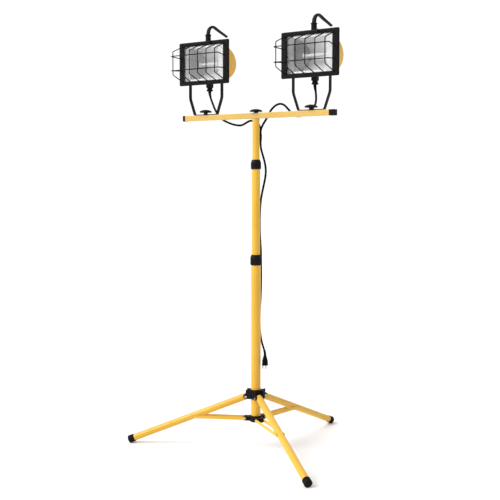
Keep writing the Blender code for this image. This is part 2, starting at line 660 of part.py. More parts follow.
def make_housing():
    """The yellow rear housing: a rounded trough with cooling fins and a flange for the front frame."""
    shell_depth = HOUSING_DEPTH - FIN_HEIGHT
    shell_half_h = HOUSING_HALF_H - 0.0040
    front = -0.0077
    shell = housing_prism(shell_depth, shell_half_h, HOUSING_HALF_W, front)
    fins = []
    count = 7
    for index in range(count):
        x = -HOUSING_HALF_W + 0.0012 + (2 * HOUSING_HALF_W - 0.0024) * index / (count - 1)
        fin = housing_prism(HOUSING_DEPTH, HOUSING_HALF_H, 0.0012, -0.0050)
        fin.data.transform(Matrix.Translation((x, 0, 0)))
        fins.append(fin)
    flange = box((-0.1055, front, HEAD_Z - 0.0680), (0.1055, FRAME_BACK, HEAD_Z + 0.0680))
    wall = 0.0028
    inside = housing_prism(shell_depth - wall, shell_half_h - wall, HOUSING_HALF_W - wall, front - 0.01)
    bores = [
        cylinder(PIN_BORE_R, (side * (HOUSING_HALF_W - 0.006), YOKE_Y, TILT_Z), (side * 0.080, YOKE_Y, TILT_Z), 12)
        for side in (-1, 1)
    ]
    housing = cut(joined(shell, *fins, flange), inside, *bores)
    mesh = housing
    for name, x in HEAD_X.items():
        mesh = place(f"housing_{name}", mesh, "yellow_paint", origin=(0, YOKE_Y, TILT_Z), offset=(x, 0, 0))


def make_reflector():
    """A bent sheet: a flat rim behind the glass, a rounded trough and two sloping end walls."""
    rim_y = -0.0084
    depth = 0.0720
    half_h = 0.0570
    mouth = 0.0670
    floor_half = 0.0480
    steps = 14
    sheet = 0.0006
    builder = bmesh.new()
    rows = []
    for step in range(steps + 1):
        angle = math.pi * step / steps
        y = rim_y + (depth - rim_y) * math.sin(angle)
        z = HEAD_Z + half_h * math.cos(angle)
        half = mouth + (floor_half - mouth) * math.sin(angle)
        rows.append([builder.verts.new((side * half, y, z)) for side in (-1, 1)])
    for first, second in zip(rows, rows[1:]):
        builder.faces.new((first[0], first[1], second[1], second[0]))
    for side in (0, 1):
        builder.faces.new([row[side] for row in rows])
    outer = [(-0.0960, 0.0650), (0.0960, 0.0650), (0.0960, -0.0650), (-0.0960, -0.0650)]
    rim = [builder.verts.new((x, rim_y, HEAD_Z + z)) for x, z in outer]
    mouth_corners = [rows[0][0], rows[0][1], rows[-1][1], rows[-1][0]]
    for index in range(4):
        after = (index + 1) % 4
        builder.faces.new((rim[index], rim[after], mouth_corners[after], mouth_corners[index]))
    bmesh.ops.recalc_face_normals(builder, faces=builder.faces)
    made = from_bmesh(builder, "reflector")
    solidify = made.modifiers.new("sheet", "SOLIDIFY")
    solidify.thickness = sheet
    solidify.offset = 0.0
    mesh = baked(made)
    for name, x in HEAD_X.items():
        mesh = place(f"reflector_{name}", mesh, "bright_reflector", origin=(0, YOKE_Y, TILT_Z), offset=(x, 0, 0))


LAMP_Y = 0.0300
LAMP_HALF = 0.0460


def make_lamp():
    """The linear halogen lamp: a quartz tube with a pinched ceramic cap at each end."""
    half_tube = LAMP_HALF - 0.0100
    tube_profile = [
        (0.0, half_tube + 0.0020), (0.0035, half_tube), (0.0050, half_tube - 0.0030),
        (0.0050, -half_tube + 0.0030), (0.0035, -half_tube), (0.0, -half_tube - 0.0020),
    ]
    lamp = turned(tube_profile, 14)
    ends = []
    for side in (-1, 1):
        ends.append(cylinder(0.0038, (0, 0, side * (half_tube - 0.0010)), (0, 0, side * LAMP_HALF), 12))
    lamp = joined(lamp, *ends)
    turned_about(lamp, (0, 0, 0), "Y", math.pi / 2)
    lamp.data.transform(Matrix.Translation((0, LAMP_Y, HEAD_Z)))
    mesh = lamp
    for name, x in HEAD_X.items():
        mesh = place(f"lamp_{name}", mesh, "quartz", origin=(0, YOKE_Y, TILT_Z), offset=(x, 0, 0))


def make_lamp_holder():
    """The spring bracket behind the lamp, with a socket at each end."""
    socket_in = LAMP_HALF + GAP
    socket_out = socket_in + 0.0065
    back = LAMP_Y + 0.0150
    solids = [box((-socket_out, back - 0.0010, HEAD_Z - 0.0060), (socket_out, back, HEAD_Z + 0.0060))]
    for side in (-1, 1):
        low, high = sorted((side * socket_in, side * socket_out))
        solids.append(box((low, LAMP_Y - 0.0060, HEAD_Z - 0.0070), (high, back - 0.0005, HEAD_Z + 0.0070),
                          0.0010, 1))
    mesh = joined(*solids)
    for name, x in HEAD_X.items():
        mesh = place(f"lamp_holder_{name}", mesh, "ceramic", origin=(0, YOKE_Y, TILT_Z), offset=(x, 0, 0))


DOOR_HINGE = Vector((0.0, FRAME_BACK, HEAD_Z - FRAME_H / 2))
LATCH = Vector((0.0370, FRAME_FRONT, HEAD_Z + FRAME_H / 2 - 0.0045))


def make_glass():
    mesh = box((-0.0990, -0.0118, HEAD_Z - 0.0670), (0.0990, -0.0090, HEAD_Z + 0.0670))
    for name, x in HEAD_X.items():
        mesh = place(f"glass_{name}", mesh, "clear_glass", origin=DOOR_HINGE, offset=(x, 0, 0))


def make_bezel():
    """The door frame round the glass, rebated at the back for the glass, rim and flange."""
    half_w = FRAME_W / 2
    half_h = FRAME_H / 2
    frame = box((-half_w, FRAME_FRONT, HEAD_Z - half_h), (half_w, FRAME_BACK, HEAD_Z + half_h), 0.0016, 2)
    opening = box((-OPENING_W / 2, -0.03, HEAD_Z - OPENING_H / 2), (OPENING_W / 2, 0.03, HEAD_Z + OPENING_H / 2))
    rebate = box((-0.1060, -0.0121, HEAD_Z - 0.0685), (0.1060, 0.03, HEAD_Z + 0.0685))
    bore = cylinder(0.0018, (LATCH.x, -0.03, LATCH.z), (LATCH.x, 0.03, LATCH.z), 12)
    mesh = cut(frame, opening, rebate, bore)
    for name, x in HEAD_X.items():
        mesh = place(f"bezel_{name}", mesh, "black_paint", origin=DOOR_HINGE, offset=(x, 0, 0))


def guard_wire(points):
    """A bent wire through these corners, each rounded."""
    corners = [Vector(point) for point in points]
    line = [corners[0]]
    for before, corner, after in zip(corners, corners[1:], corners[2:]):
        line += rounded_corner(before, corner, after, 0.0060, 2)
    line.append(corners[-1])
    return tube(line, GUARD_WIRE_R, 1)


def make_guard():
    """The wire guard: six hoops from top to bottom and two from side to side, welded where they cross."""
    back = FRAME_FRONT + 0.0010
    wires = []
    for index in range(6):
        x = GUARD_SPACING * (index - 2.5)
        wires.append(guard_wire([
            (x, back, HEAD_Z + 0.0650), (x, GUARD_FRONT, HEAD_Z + 0.0425),
            (x, GUARD_FRONT, HEAD_Z - 0.0425), (x, back, HEAD_Z - 0.0650),
        ]))
    across = GUARD_FRONT + GUARD_WIRE_R * 1.4
    for z, root_z in ((0.0265, 0.0205), (-0.0265, -0.0235)):
        wires.append(guard_wire([
            (-0.1010, back, HEAD_Z + root_z), (-0.1135, across, HEAD_Z + z),
            (0.1135, across, HEAD_Z + z), (0.1010, back, HEAD_Z + root_z),
        ]))
    trim = box((-0.2, FRAME_FRONT - GAP, HEAD_Z - 0.1), (0.2, 0.1, HEAD_Z + 0.1))
    mesh = cut(joined(*wires), trim)
    for name, x in HEAD_X.items():
        mesh = place(f"guard_{name}", mesh, "black_paint", origin=DOOR_HINGE, offset=(x, 0, 0))


def make_latch_screw():
    """The thumbscrew that keeps the door shut, through the frame's top rail."""
    front = FRAME_FRONT - GAP
    head = cylinder(0.0042, (LATCH.x, front, LATCH.z), (LATCH.x, front - 0.0030, LATCH.z), 14)
    shank = cylinder(0.0015, (LATCH.x, front - 0.0010, LATCH.z), (LATCH.x, -0.0081, LATCH.z), 12)
    wing = box((LATCH.x - 0.0010, front - 0.0070, LATCH.z - 0.0055), (LATCH.x + 0.0010, front - 0.0020, LATCH.z + 0.0055))
    mesh = joined(head, shank, wing)
    for name, x in HEAD_X.items():
        mesh = place(f"latch_screw_{name}", mesh, "black_plastic", origin=LATCH, offset=(x, 0, 0))


def make_junction_box():
    """The terminal box under the housing, its top following the housing's curve."""
    bottom = 1.3222
    block = box((-0.0105, JUNCTION_Y - 0.0100, bottom), (0.0105, JUNCTION_Y + 0.0100, 1.3600), 0.0020, 2)
    saddle = housing_prism(HOUSING_DEPTH + GAP, HOUSING_HALF_H + GAP, 0.05, -0.02)
    mesh = cut(block, saddle)
    for name, x in HEAD_X.items():
        mesh = place(f"junction_box_{name}", mesh, "black_plastic", origin=(0, YOKE_Y, TILT_Z), offset=(x, 0, 0))


def make_cord_gland():
    """The flared gland nut that grips the lead under the terminal box."""
    top = 1.3222 - GAP
    profile = [
        (0.0, top), (0.0097, top), (0.0097, 1.3160), (0.0125, 1.3132), (0.0125, 1.3106),
        (0.0105, 1.3096), (0.0, 1.3096),
    ]
    made = turned(profile, 16)
    made.data.transform(Matrix.Translation((0, JUNCTION_Y, 0)))
    mesh = made
    for name, x in HEAD_X.items():
        mesh = place(f"cord_gland_{name}", mesh, "black_plastic", origin=(0, YOKE_Y, TILT_Z), offset=(x, 0, 0))


def make_handle():
    """The carrying handle: a socket with a collar and a tapered rod that hooks back over the housing."""
    socket_top = 1.5135
    collar_top = 1.5168
    socket = cylinder(0.0100, (0, HANDLE_Y, 1.4600), (0, HANDLE_Y, socket_top + 0.0005), 18)
    collar = cylinder(0.0118, (0, HANDLE_Y, socket_top), (0, HANDLE_Y, collar_top), 18)
    hook = [
        (0, HANDLE_Y, 1.5150), (0, 0.0166, 1.5240), (0, 0.0200, 1.5345), (0, 0.0285, 1.5435),
        (0, 0.0400, 1.5480), (0, 0.0520, 1.5470), (0, 0.0680, 1.5410), (0, 0.0880, 1.5340),
        (0, 0.1080, 1.5275), (0, 0.1250, 1.5215),
    ]
    line = smooth_route(hook, 0.0085)
    radii = [1.0 - HANDLE_TAPER * index / (len(line) - 1) for index in range(len(line))]
    rod = tube(line, HANDLE_ROD_R, 2, radii)
    tip = bmesh.new()
    bmesh.ops.create_uvsphere(tip, u_segments=10, v_segments=6, radius=HANDLE_ROD_R * (1.0 - HANDLE_TAPER))
    bmesh.ops.translate(tip, vec=line[-1], verts=tip.verts)
    rod = joined(rod, from_bmesh(tip, "tip"))
    rod.data.transform(Matrix.Diagonal((HANDLE_FLATTEN, 1.0, 1.0, 1.0)))
    saddle = housing_prism(HOUSING_DEPTH + GAP, HOUSING_HALF_H + GAP, 0.05, -0.02)
    mesh = joined(cut(socket, saddle), collar, rod)
    for name, x in HEAD_X.items():
        mesh = place(f"handle_{name}", mesh, "black_plastic", origin=(0, YOKE_Y, TILT_Z), offset=(x, 0, 0))


# ---- cords ----------------------------------------------------------------------------------
def make_cords():
    for name, route in LEAD_ROUTES.items():
        place(f"lead_{name}", tube(smooth_route(route, 0.0120), LEAD_R), "cord_rubber", sharp=60.0)
    place("main_cord", tube(smooth_route(MAIN_ROUTE, 0.0140), CORD_R), "cord_rubber", sharp=60.0)


def make_cord_splitter():
    """The moulded yoke where the two heads' leads join the main cord."""
    solid = box((-0.0048, -0.0082, -0.0095), (0.0048, 0.0082, 0.0095), 0.0022, 2)
    turned_about(solid, (0, 0, 0), "Z", math.radians(SPLITTER_AZIMUTH))
    solid.data.transform(Matrix.Translation(SPLITTER))
    place("cord_splitter", solid, "cord_rubber")


def make_plug():
    """The moulded three-pin plug, hanging with its pins down."""
    face = PLUG_FACE_Z
    profile = [
        (0.0, face + 0.0350), (0.0056, face + 0.0350), (0.0068, face + 0.0310), (0.0092, face + 0.0220),
        (0.0104, face + 0.0060), (0.0117, face + 0.0040), (0.0118, face + 0.0008), (0.0112, face), (0.0, face),
    ]
    pins = [
        box((x - 0.0008, -0.0070, face - 0.0140), (x + 0.0008, -0.0008, face + 0.0020)) for x in (-0.00635, 0.00635)
    ]
    pins.append(cylinder(0.0023, (0, 0.0060, face + 0.0020), (0, 0.0060, face - 0.0150), 12))
    plug = joined(turned(profile, 20), *pins)
    azimuth = math.radians(PLUG_AZIMUTH)
    centre = Vector((PLUG_RADIUS_OUT * math.cos(azimuth), PLUG_RADIUS_OUT * math.sin(azimuth), 0.0))
    plug.data.transform(Matrix.Translation(centre))
    place("plug", plug, "cord_rubber", origin=centre + Vector((0, 0, face)))


def main():
    make_mast()
    make_collars()
    make_mast_plug()
    make_leg_hub()
    make_hub_lock_screw()
    make_legs()
    make_leg_pins()
    make_strut_hub()
    make_braces()
    make_crossbar()
    make_end_cap("end_cap_left", BAR_LEFT, CAP_LEFT_LENGTH)
    make_end_cap("end_cap_right", BAR_RIGHT, CAP_RIGHT_LENGTH)
    make_knobs()
    make_yokes()
    make_tilt_bolts()
    make_housing()
    make_reflector()
    make_lamp()
    make_lamp_holder()
    make_glass()
    make_bezel()
    make_guard()
    make_latch_screw()
    make_junction_box()
    make_cord_gland()
    make_handle()
    make_cords()
    make_cord_splitter()
    make_plug()


clear_scene()
PARTS = bpy.data.collections.new("work_light")
bpy.context.scene.collection.children.link(PARTS)
ROOT = bpy.data.objects.new("work_light_frame", None)
ROOT.location = MAST_SHIFT
PARTS.objects.link(ROOT)
main()
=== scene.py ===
"""Looks of a twin-head tripod work light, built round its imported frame. Metres, +Z up."""

import json
import math

import bmesh
import bpy
from mathutils import Matrix, Vector


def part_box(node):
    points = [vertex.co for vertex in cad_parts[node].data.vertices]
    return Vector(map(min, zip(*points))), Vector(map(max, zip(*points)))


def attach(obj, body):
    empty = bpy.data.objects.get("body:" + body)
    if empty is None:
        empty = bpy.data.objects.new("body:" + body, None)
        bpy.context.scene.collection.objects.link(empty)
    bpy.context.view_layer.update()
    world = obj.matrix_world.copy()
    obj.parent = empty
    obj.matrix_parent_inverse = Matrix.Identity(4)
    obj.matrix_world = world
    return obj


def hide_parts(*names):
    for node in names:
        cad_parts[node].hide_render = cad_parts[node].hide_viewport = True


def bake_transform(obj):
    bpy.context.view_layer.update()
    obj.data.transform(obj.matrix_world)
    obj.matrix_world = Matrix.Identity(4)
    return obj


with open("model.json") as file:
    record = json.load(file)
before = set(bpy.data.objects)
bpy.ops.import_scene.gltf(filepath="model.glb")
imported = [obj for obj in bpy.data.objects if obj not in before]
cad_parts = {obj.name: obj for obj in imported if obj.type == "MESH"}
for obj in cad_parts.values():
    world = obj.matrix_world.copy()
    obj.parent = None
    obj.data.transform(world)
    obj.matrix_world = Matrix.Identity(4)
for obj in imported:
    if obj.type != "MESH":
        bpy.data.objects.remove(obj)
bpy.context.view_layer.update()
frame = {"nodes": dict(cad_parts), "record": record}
JOINTS = {joint["name"]: joint for joint in frame["record"]["behaviour"]["joints"]}
SIDES = ("left", "right")
LEGS = ("left", "rear", "front")


def middle(node):
    low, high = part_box(node)
    return (low + high) / 2


def axis_of(node):
    """Where a node's upright axis meets the floor."""
    centre = middle(node)
    return Vector((centre.x, centre.y, 0.0))


MAST = axis_of("lower_tube")
HEAD_AT = {side: Vector((middle("yoke_" + side).x, MAST.y, 0.0)) for side in SIDES}

# ---- camera ----
CAMERA_AT = Vector((2.1046, -2.9184, 1.0043))
CAMERA_TURN = (math.radians(85.52), 0.0, math.radians(37.02))
CAMERA_LENS = 70.15              # millimetres
SENSOR_WIDTH = 36.0
FAR_CLIP = 50.0


def placed(name, data):
    """Puts a camera, a lamp or a mesh into the scene."""
    made = bpy.data.objects.new(name, data)
    bpy.context.scene.collection.objects.link(made)
    return made


def make_camera():
    data = bpy.data.cameras.new("camera")
    data.lens = CAMERA_LENS
    data.sensor_width = SENSOR_WIDTH
    data.clip_end = FAR_CLIP
    camera = placed("camera", data)
    camera.location = CAMERA_AT
    camera.rotation_euler = CAMERA_TURN
    bpy.context.scene.camera = camera


# ---- materials ----
LOOKS = {}    # this scene's own materials: the frame brings plain ones under the same names


def set_range(node, low_in, high_in, low_out, high_out):
    """Fills in a Map Range node: what comes in, and what it turns into."""
    for key, number in (
        ("From Min", low_in), ("From Max", high_in), ("To Min", low_out), ("To Max", high_out),
    ):
        node.inputs[key].default_value = number


class Nodes:
    """A short way to wire a material's nodes."""

    def __init__(self, name):
        self.material = bpy.data.materials.new("look_" + name)
        LOOKS[name] = self.material
        self.material.use_nodes = True
        self.tree = self.material.node_tree
        self.shader = self.tree.nodes["Principled BSDF"]
        self.place = self.add("ShaderNodeTexCoord").outputs["Object"]

    def add(self, kind, **settings):
        node = self.tree.nodes.new(kind)
        for key, value in settings.items():
            setattr(node, key, value)
        return node

    def link(self, output, socket):
        self.tree.links.new(output, socket)

    def feed(self, name, output):
        """Drives one of the surface's own inputs."""
        self.link(output, self.shader.inputs[name])

    def constant(self, **values):
        for key, value in values.items():
            self.shader.inputs[key.replace("_", " ")].default_value = value

    def scaled(self, stretch):
        mapping = self.add("ShaderNodeMapping")
        mapping.inputs["Scale"].default_value = stretch
        self.link(self.place, mapping.inputs["Vector"])
        return mapping.outputs["Vector"]

    def noise(self, scale, detail, roughness=0.5, stretch=None):
        node = self.add("ShaderNodeTexNoise")
        node.inputs["Scale"].default_value = scale
        node.inputs["Detail"].default_value = detail
        node.inputs["Roughness"].default_value = roughness
        self.link(self.scaled(stretch) if stretch else self.place, node.inputs["Vector"])
        return node.outputs["Fac"]

    def pebbles(self, scale):
        node = self.add("ShaderNodeTexVoronoi", feature="SMOOTH_F1")
        node.inputs["Scale"].default_value = scale
        self.link(self.place, node.inputs["Vector"])
        return node.outputs["Distance"]

    def mapped(self, value, low_in, high_in, low_out=0.0, high_out=1.0):
        node = self.add("ShaderNodeMapRange")
        set_range(node, low_in, high_in, low_out, high_out)
        self.link(value, node.inputs["Value"])
        return node.outputs["Result"]

    def mixed(self, share, first, second):
        node = self.add("ShaderNodeMix", data_type="RGBA")
        self.link(share, node.inputs["Factor"])
        for socket, colour in ((node.inputs["A"], first), (node.inputs["B"], second)):
            if isinstance(colour, tuple):
                socket.default_value = (*colour, 1.0)
            else:
                self.link(colour, socket)
        return node.outputs["Result"]

    def bump(self, height, distance):
        node = self.add("ShaderNodeBump")
        node.inputs["Distance"].default_value = distance
        node.inputs["Strength"].default_value = 1.0
        self.link(height, node.inputs["Height"])
        self.feed("Normal", node.outputs["Normal"])

    def surface(self, colour, roughness, height, depth, **constants):
        """Colour, roughness and bump, which every material has, and what stays the same all over."""
        self.feed("Base Color", colour)
        self.feed("Roughness", roughness)
        self.bump(height, depth)
        self.constant(**constants)


def mottled(name, dark, light, roughness, grain, depth, patch, **constants):
    """A surface whose colour drifts between two tones, patch by patch, with a fine grain over it."""
    nodes = Nodes(name)
    patches = nodes.mapped(nodes.noise(patch, 4.0), 0.35, 0.65)
    tone = nodes.mixed(patches, dark, light)
    fine = nodes.noise(grain, 3.0)
    nodes.surface(tone, nodes.mapped(fine, 0.3, 0.7, *roughness), fine, depth, **constants)


def make_yellow_paint(name, pale, deep):
    """Powder-coated yellow-orange enamel: faint orange peel, a little grime and a few rubbed specks."""
    nodes = Nodes(name)
    drift = nodes.mapped(nodes.noise(5.0, 4.0), 0.35, 0.65)
    clean = nodes.mixed(drift, deep, pale)
    grime = nodes.mapped(nodes.noise(22.0, 6.0, 0.65), 0.60, 0.80, 0.0, 0.45)
    dirty = nodes.mixed(grime, clean, (0.46, 0.25, 0.03))
    specks = nodes.mapped(nodes.noise(240.0, 2.0), 0.74, 0.78, 0.0, 0.7)
    worn = nodes.mixed(specks, dirty, (0.30, 0.22, 0.15))
    sheen = nodes.mapped(nodes.noise(60.0, 4.0), 0.3, 0.7, 0.28, 0.46)
    nodes.surface(worn, sheen, nodes.noise(700.0, 2.0), 0.00012,
                  Coat_Weight=0.25, Coat_Roughness=0.22, Specular_IOR_Level=0.30)


def make_reflector_metal():
    """Bright aluminium sheet, embossed all over with small pebbles."""
    nodes = Nodes("bright_reflector")
    pebbles = nodes.pebbles(420.0)
    drift = nodes.mapped(nodes.noise(18.0, 3.0), 0.3, 0.7)
    tone = nodes.mixed(drift, (0.93, 0.915, 0.93), (0.99, 0.975, 0.99))
    nodes.surface(tone, nodes.mapped(pebbles, 0.0, 0.7, 0.38, 0.55), pebbles, 0.00055, Metallic=0.70)


def make_sheet_aluminium(name, dark, light):
    """The reflector's smooth side parts: drawn sheet, duller than the embossed trough."""
    nodes = Nodes(name)
    lines = nodes.noise(60.0, 4.0, stretch=(1.0, 14.0, 1.0))
    tone = nodes.mixed(lines, dark, light)
    nodes.surface(tone, nodes.mapped(lines, 0.3, 0.7, 0.26, 0.38), lines, 0.00006, Metallic=0.9)


def make_pane_glass():
    """A thin clear pane: nearly all of it is see-through, with a film of dust that comes and goes."""
    nodes = Nodes("clear_glass")
    dust = nodes.mapped(nodes.noise(14.0, 5.0), 0.40, 0.75)
    tone = nodes.mixed(dust, (0.80, 0.83, 0.82), (0.86, 0.85, 0.84))
    nodes.surface(tone, nodes.mapped(dust, 0.0, 1.0, 0.05, 0.30), nodes.noise(9.0, 1.0), 0.00025)
    nodes.feed("Alpha", nodes.mapped(dust, 0.0, 1.0, 0.07, 0.15))


def make_quartz():
    """Fused quartz, slightly milky from its pinches and its coating."""
    nodes = Nodes("quartz")
    haze = nodes.mapped(nodes.noise(40.0, 4.0), 0.40, 0.70)
    tone = nodes.mixed(haze, (0.97, 0.97, 0.96), (0.99, 0.99, 0.99))
    nodes.surface(tone, nodes.mapped(haze, 0.0, 1.0, 0.10, 0.22), nodes.noise(60.0, 1.0), 0.00008,
                  Transmission_Weight=0.35, IOR=1.46)


def make_materials():
    make_yellow_paint("yellow_paint", (0.77, 0.440, 0.040), (0.71, 0.385, 0.028))
    # A paler, less saturated copy of the yellow paint for the crossbar: painted highlight.
    make_yellow_paint("yellow_painted_highlight", (0.64, 0.41, 0.100), (0.57, 0.35, 0.075))
    make_reflector_metal()
    make_sheet_aluminium("plain_aluminium", (0.76, 0.74, 0.76), (0.86, 0.84, 0.86))
    # Two darker copies of the same sheet, as painted shade for the left end wall: grey on the left head,
    # darkest on the right head.
    make_sheet_aluminium("shade_painted_aluminium", (0.34, 0.325, 0.335), (0.44, 0.42, 0.435))
    make_sheet_aluminium("deep_shade_painted_aluminium", (0.17, 0.155, 0.165), (0.24, 0.22, 0.23))
    make_pane_glass()
    make_quartz()
    mottled("black_paint", (0.0036, 0.0034, 0.0036), (0.0062, 0.0057, 0.0060), (0.34, 0.52),
            420.0, 0.00010, 14.0, Specular_IOR_Level=0.12)
    mottled("black_plastic", (0.0040, 0.0037, 0.0038), (0.0070, 0.0064, 0.0066), (0.40, 0.58),
            900.0, 0.00014, 20.0, Specular_IOR_Level=0.12)
    mottled("black_rubber", (0.0055, 0.0052, 0.0050), (0.0120, 0.0112, 0.0105), (0.66, 0.86),
            500.0, 0.00020, 30.0, Specular_IOR_Level=0.12)
    mottled("cord_rubber", (0.0022, 0.0022, 0.0023), (0.0044, 0.0042, 0.0043), (0.45, 0.62),
            600.0, 0.00012, 26.0, Specular_IOR_Level=0.06)
    mottled("ceramic", (0.74, 0.71, 0.64), (0.84, 0.82, 0.77), (0.30, 0.50), 350.0, 0.00010, 40.0)
    mottled("zinc_steel", (0.46, 0.46, 0.47), (0.62, 0.62, 0.61), (0.28, 0.46),
            800.0, 0.00006, 60.0, Metallic=1.0)
    mottled("tungsten", (0.32, 0.31, 0.30), (0.42, 0.41, 0.40), (0.30, 0.45),
            900.0, 0.00004, 60.0, Metallic=1.0)


# ---- mesh helpers ----
def piece(name, builder, material, body, stands_for=(), sharp=38.0):
    """Turns built geometry into a visible piece that rides on a body, or on none yet."""
    mesh = bpy.data.meshes.new(name)
    bmesh.ops.recalc_face_normals(builder, faces=builder.faces)
    builder.to_mesh(mesh)
    builder.free()
    mesh.materials.append(LOOKS[material])
    mesh.shade_smooth()
    mesh.set_sharp_from_angle(angle=math.radians(sharp))
    made = placed(name, mesh)
    if body:
        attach(made, body)
    if stands_for:
        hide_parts(*stands_for)
    return made


def head_piece(side, name, builder, material, body="head", stands_for=None, sharp=38.0):
    """A piece built about one yoke's stud, riding on that side's head or on another body of that side."""
    nodes = [f"{stands_for}_{side}"] if stands_for else ()
    return piece(name, shifted(builder, HEAD_AT[side]), material, f"{body}_{side}", nodes, sharp)


def merged(*builders):
    """One set of geometry out of several."""
    whole = bmesh.new()
    for builder in builders:
        mesh = bpy.data.meshes.new("part")
        builder.to_mesh(mesh)
        builder.free()
        whole.from_mesh(mesh)
        bpy.data.meshes.remove(mesh)
    return whole


def moved(builder, matrix):
    bmesh.ops.transform(builder, matrix=matrix, verts=builder.verts)
    return builder


def shifted(builder, offset):
    return moved(builder, Matrix.Translation(offset))


def aimed(direction):
    """The turn that takes +Z to a direction."""
    return Vector((0.0, 0.0, 1.0)).rotation_difference(Vector(direction)).to_matrix().to_4x4()


def stood(builder, at, direction):
    """Stands geometry at a point, its +Z along a direction."""
    return moved(builder, Matrix.Translation(at) @ aimed(direction))


def welded(made, distance):
    """Joins points that lie on each other, so that light runs smoothly over the seam."""
    made.modifiers.new("weld", "WELD").merge_threshold = distance


def rings(loops, close=True, cap=True):
    """Skins a list of equal loops of points with quads, and can cap both ends."""
    builder = bmesh.new()
    rows = [[builder.verts.new(point) for point in loop] for loop in loops]
    count = len(rows[0])
    for first, second in zip(rows, rows[1:]):
        for index in range(count if close else count - 1):
            after = (index + 1) % count
            builder.faces.new((first[index], first[after], second[after], second[index]))
    if cap:
        builder.faces.new(rows[0][::-1])
        builder.faces.new(rows[-1])
    return builder


def lathe(profile, sides, flutes=0, depth=0.0, flute_span=None, hollow=False):
    """Turns (radius, height) points about Z. Flutes cut a wavy grip between two heights.

    A hollow one's profile goes right round its section, so it has no end caps.
    """
    loops = []
    for radius, height in profile:
        loop = []
        for step in range(sides):
            angle = 2 * math.pi * step / sides
            around = max(radius, 1e-5)
            if flutes and flute_span[0] <= height <= flute_span[1]:
                around -= depth * (0.5 - 0.5 * math.cos(flutes * angle)) ** 2
            loop.append(Vector((around * math.cos(angle), around * math.sin(angle), height)))
        loops.append(loop)
    if hollow:
        loops.append(loops[0])
    return rings(loops, cap=not hollow)


def softened(profile, radius=0.0008, steps=3):
    """Rounds the corners of an open (radius, height) profile."""
    points = [Vector(point) for point in profile]
    out = [points[0]]
    for before, corner, after in zip(points, points[1:], points[2:]):
        back = before - corner
        ahead = after - corner
        reach = min(radius, back.length * 0.45, ahead.length * 0.45)
        start = corner + back.normalized() * reach
        end = corner + ahead.normalized() * reach
        for step in range(steps + 1):
            t = step / steps
            out.append(start * (1 - t) ** 2 + corner * 2 * t * (1 - t) + end * t ** 2)
    out.append(points[-1])
    return [(point.x, point.y) for point in out]


def turned(profile, sides, rounding=0.0008, **grip):
    """Turns an outline with rounded corners, closed flat to the axis at both ends."""
    whole = [(0.0, profile[0][1]), *profile, (0.0, profile[-1][1])]
    return lathe(softened(whole, rounding), sides, **grip)


def smooth_line(points, spacing):
    """Points every spacing metres along a smooth curve through a route's own points."""
    knots = [Vector(point) for point in points]
    padded = [knots[0] * 2 - knots[1]] + knots + [knots[-1] * 2 - knots[-2]]
    dense = []
    for before, start, end, after in zip(padded, padded[1:], padded[2:], padded[3:]):
        for step in range(12):
            t = step / 12
            dense.append(0.5 * (
                2 * start + (end - before) * t
                + (2 * before - 5 * start + 4 * end - after) * t ** 2
                + (3 * start - before - 3 * end + after) * t ** 3
            ))
    dense.append(knots[-1])
    reach = [0.0]
    for first, second in zip(dense, dense[1:]):
        reach.append(reach[-1] + (second - first).length)
    count = max(2, round(reach[-1] / spacing))
    spaced = []
    at = 0
    for index in range(count + 1):
        wanted = reach[-1] * index / count
        while at < len(dense) - 2 and reach[at + 1] < wanted:
            at += 1
        share = (wanted - reach[at]) / (reach[at + 1] - reach[at])
        spaced.append(dense[at].lerp(dense[at + 1], min(max(share, 0.0), 1.0)))
    return spaced


def bent_line(corners, radius, steps=6):
    """A polyline whose corners are rounded by arcs."""
    points = [Vector(corner) for corner in corners]
    out = [points[0]]
    for before, corner, after in zip(points, points[1:], points[2:]):
        back = (before - corner).normalized()
        ahead = (after - corner).normalized()
        half = back.angle(ahead) / 2
        centre = corner + (back + ahead).normalized() * radius / math.sin(half)
        reach = radius / math.tan(half)
        start = (corner + back * reach - centre).normalized()
        end = (corner + ahead * reach - centre).normalized()
        out += [centre + start.slerp(end, step / steps) * radius for step in range(steps + 1)]
    out.append(points[-1])
    return out


def tangents(line):
    last = len(line) - 1
    return [(line[min(at + 1, last)] - line[max(at - 1, 0)]).normalized() for at in range(last + 1)]


def sweep(line, radius, sides, round_ends=True):
    """A round bar along a line; radius is a number or a function of the share of the way along."""
    size = radius if callable(radius) else lambda share: radius
    last = len(line) - 1
    headings = tangents(line)
    across = headings[0].orthogonal().normalized()
    dome = [(share, 0.6 * math.sqrt(1 - share ** 2)) for share in (0.85, 0.5, 0.12)] if round_ends else []
    loops = []

    def loop(centre, along, reach):
        other = along.cross(across)
        turns = [2 * math.pi * step / sides for step in range(sides)]
        return [centre + (across * math.cos(turn) + other * math.sin(turn)) * reach for turn in turns]

    for index, (centre, along) in enumerate(zip(line, headings)):
        across = (across - along * across.dot(along)).normalized()
        reach = size(index / last)
        stations = [(1.0, 0.0)]
        if index == 0:
            stations = [(share, -out) for share, out in reversed(dome)] + stations
        if index == last:
            stations += dome
        loops += [loop(centre + along * reach * out, along, reach * share) for share, out in stations]
    return rings(loops)


def rounded_box(low, high, radius, segments=3):
    low = Vector(low)
    high = Vector(high)
    builder = bmesh.new()
    bmesh.ops.create_cube(builder, size=1.0)
    size = high - low
    moved(builder, Matrix.Translation((low + high) / 2) @ Matrix.Diagonal((*size, 1.0)))
    bmesh.ops.bevel(
        builder, geom=list(builder.edges), offset=radius, segments=segments, affect="EDGES", profile=0.5
    )
    return builder


def rounded_rectangle(half_w, half_h, radius, steps=6):
    """Points round a rectangle with arcs at its corners, in X and Z."""
    points = []
    for centre_x, centre_z, start in (
        (half_w - radius, half_h - radius, 0.0), (radius - half_w, half_h - radius, 0.5),
        (radius - half_w, radius - half_h, 1.0), (half_w - radius, radius - half_h, 1.5),
    ):
        for step in range(steps + 1):
            angle = math.pi * (start + 0.5 * step / steps)
            points.append((centre_x + radius * math.cos(angle), centre_z + radius * math.sin(angle)))
    return points


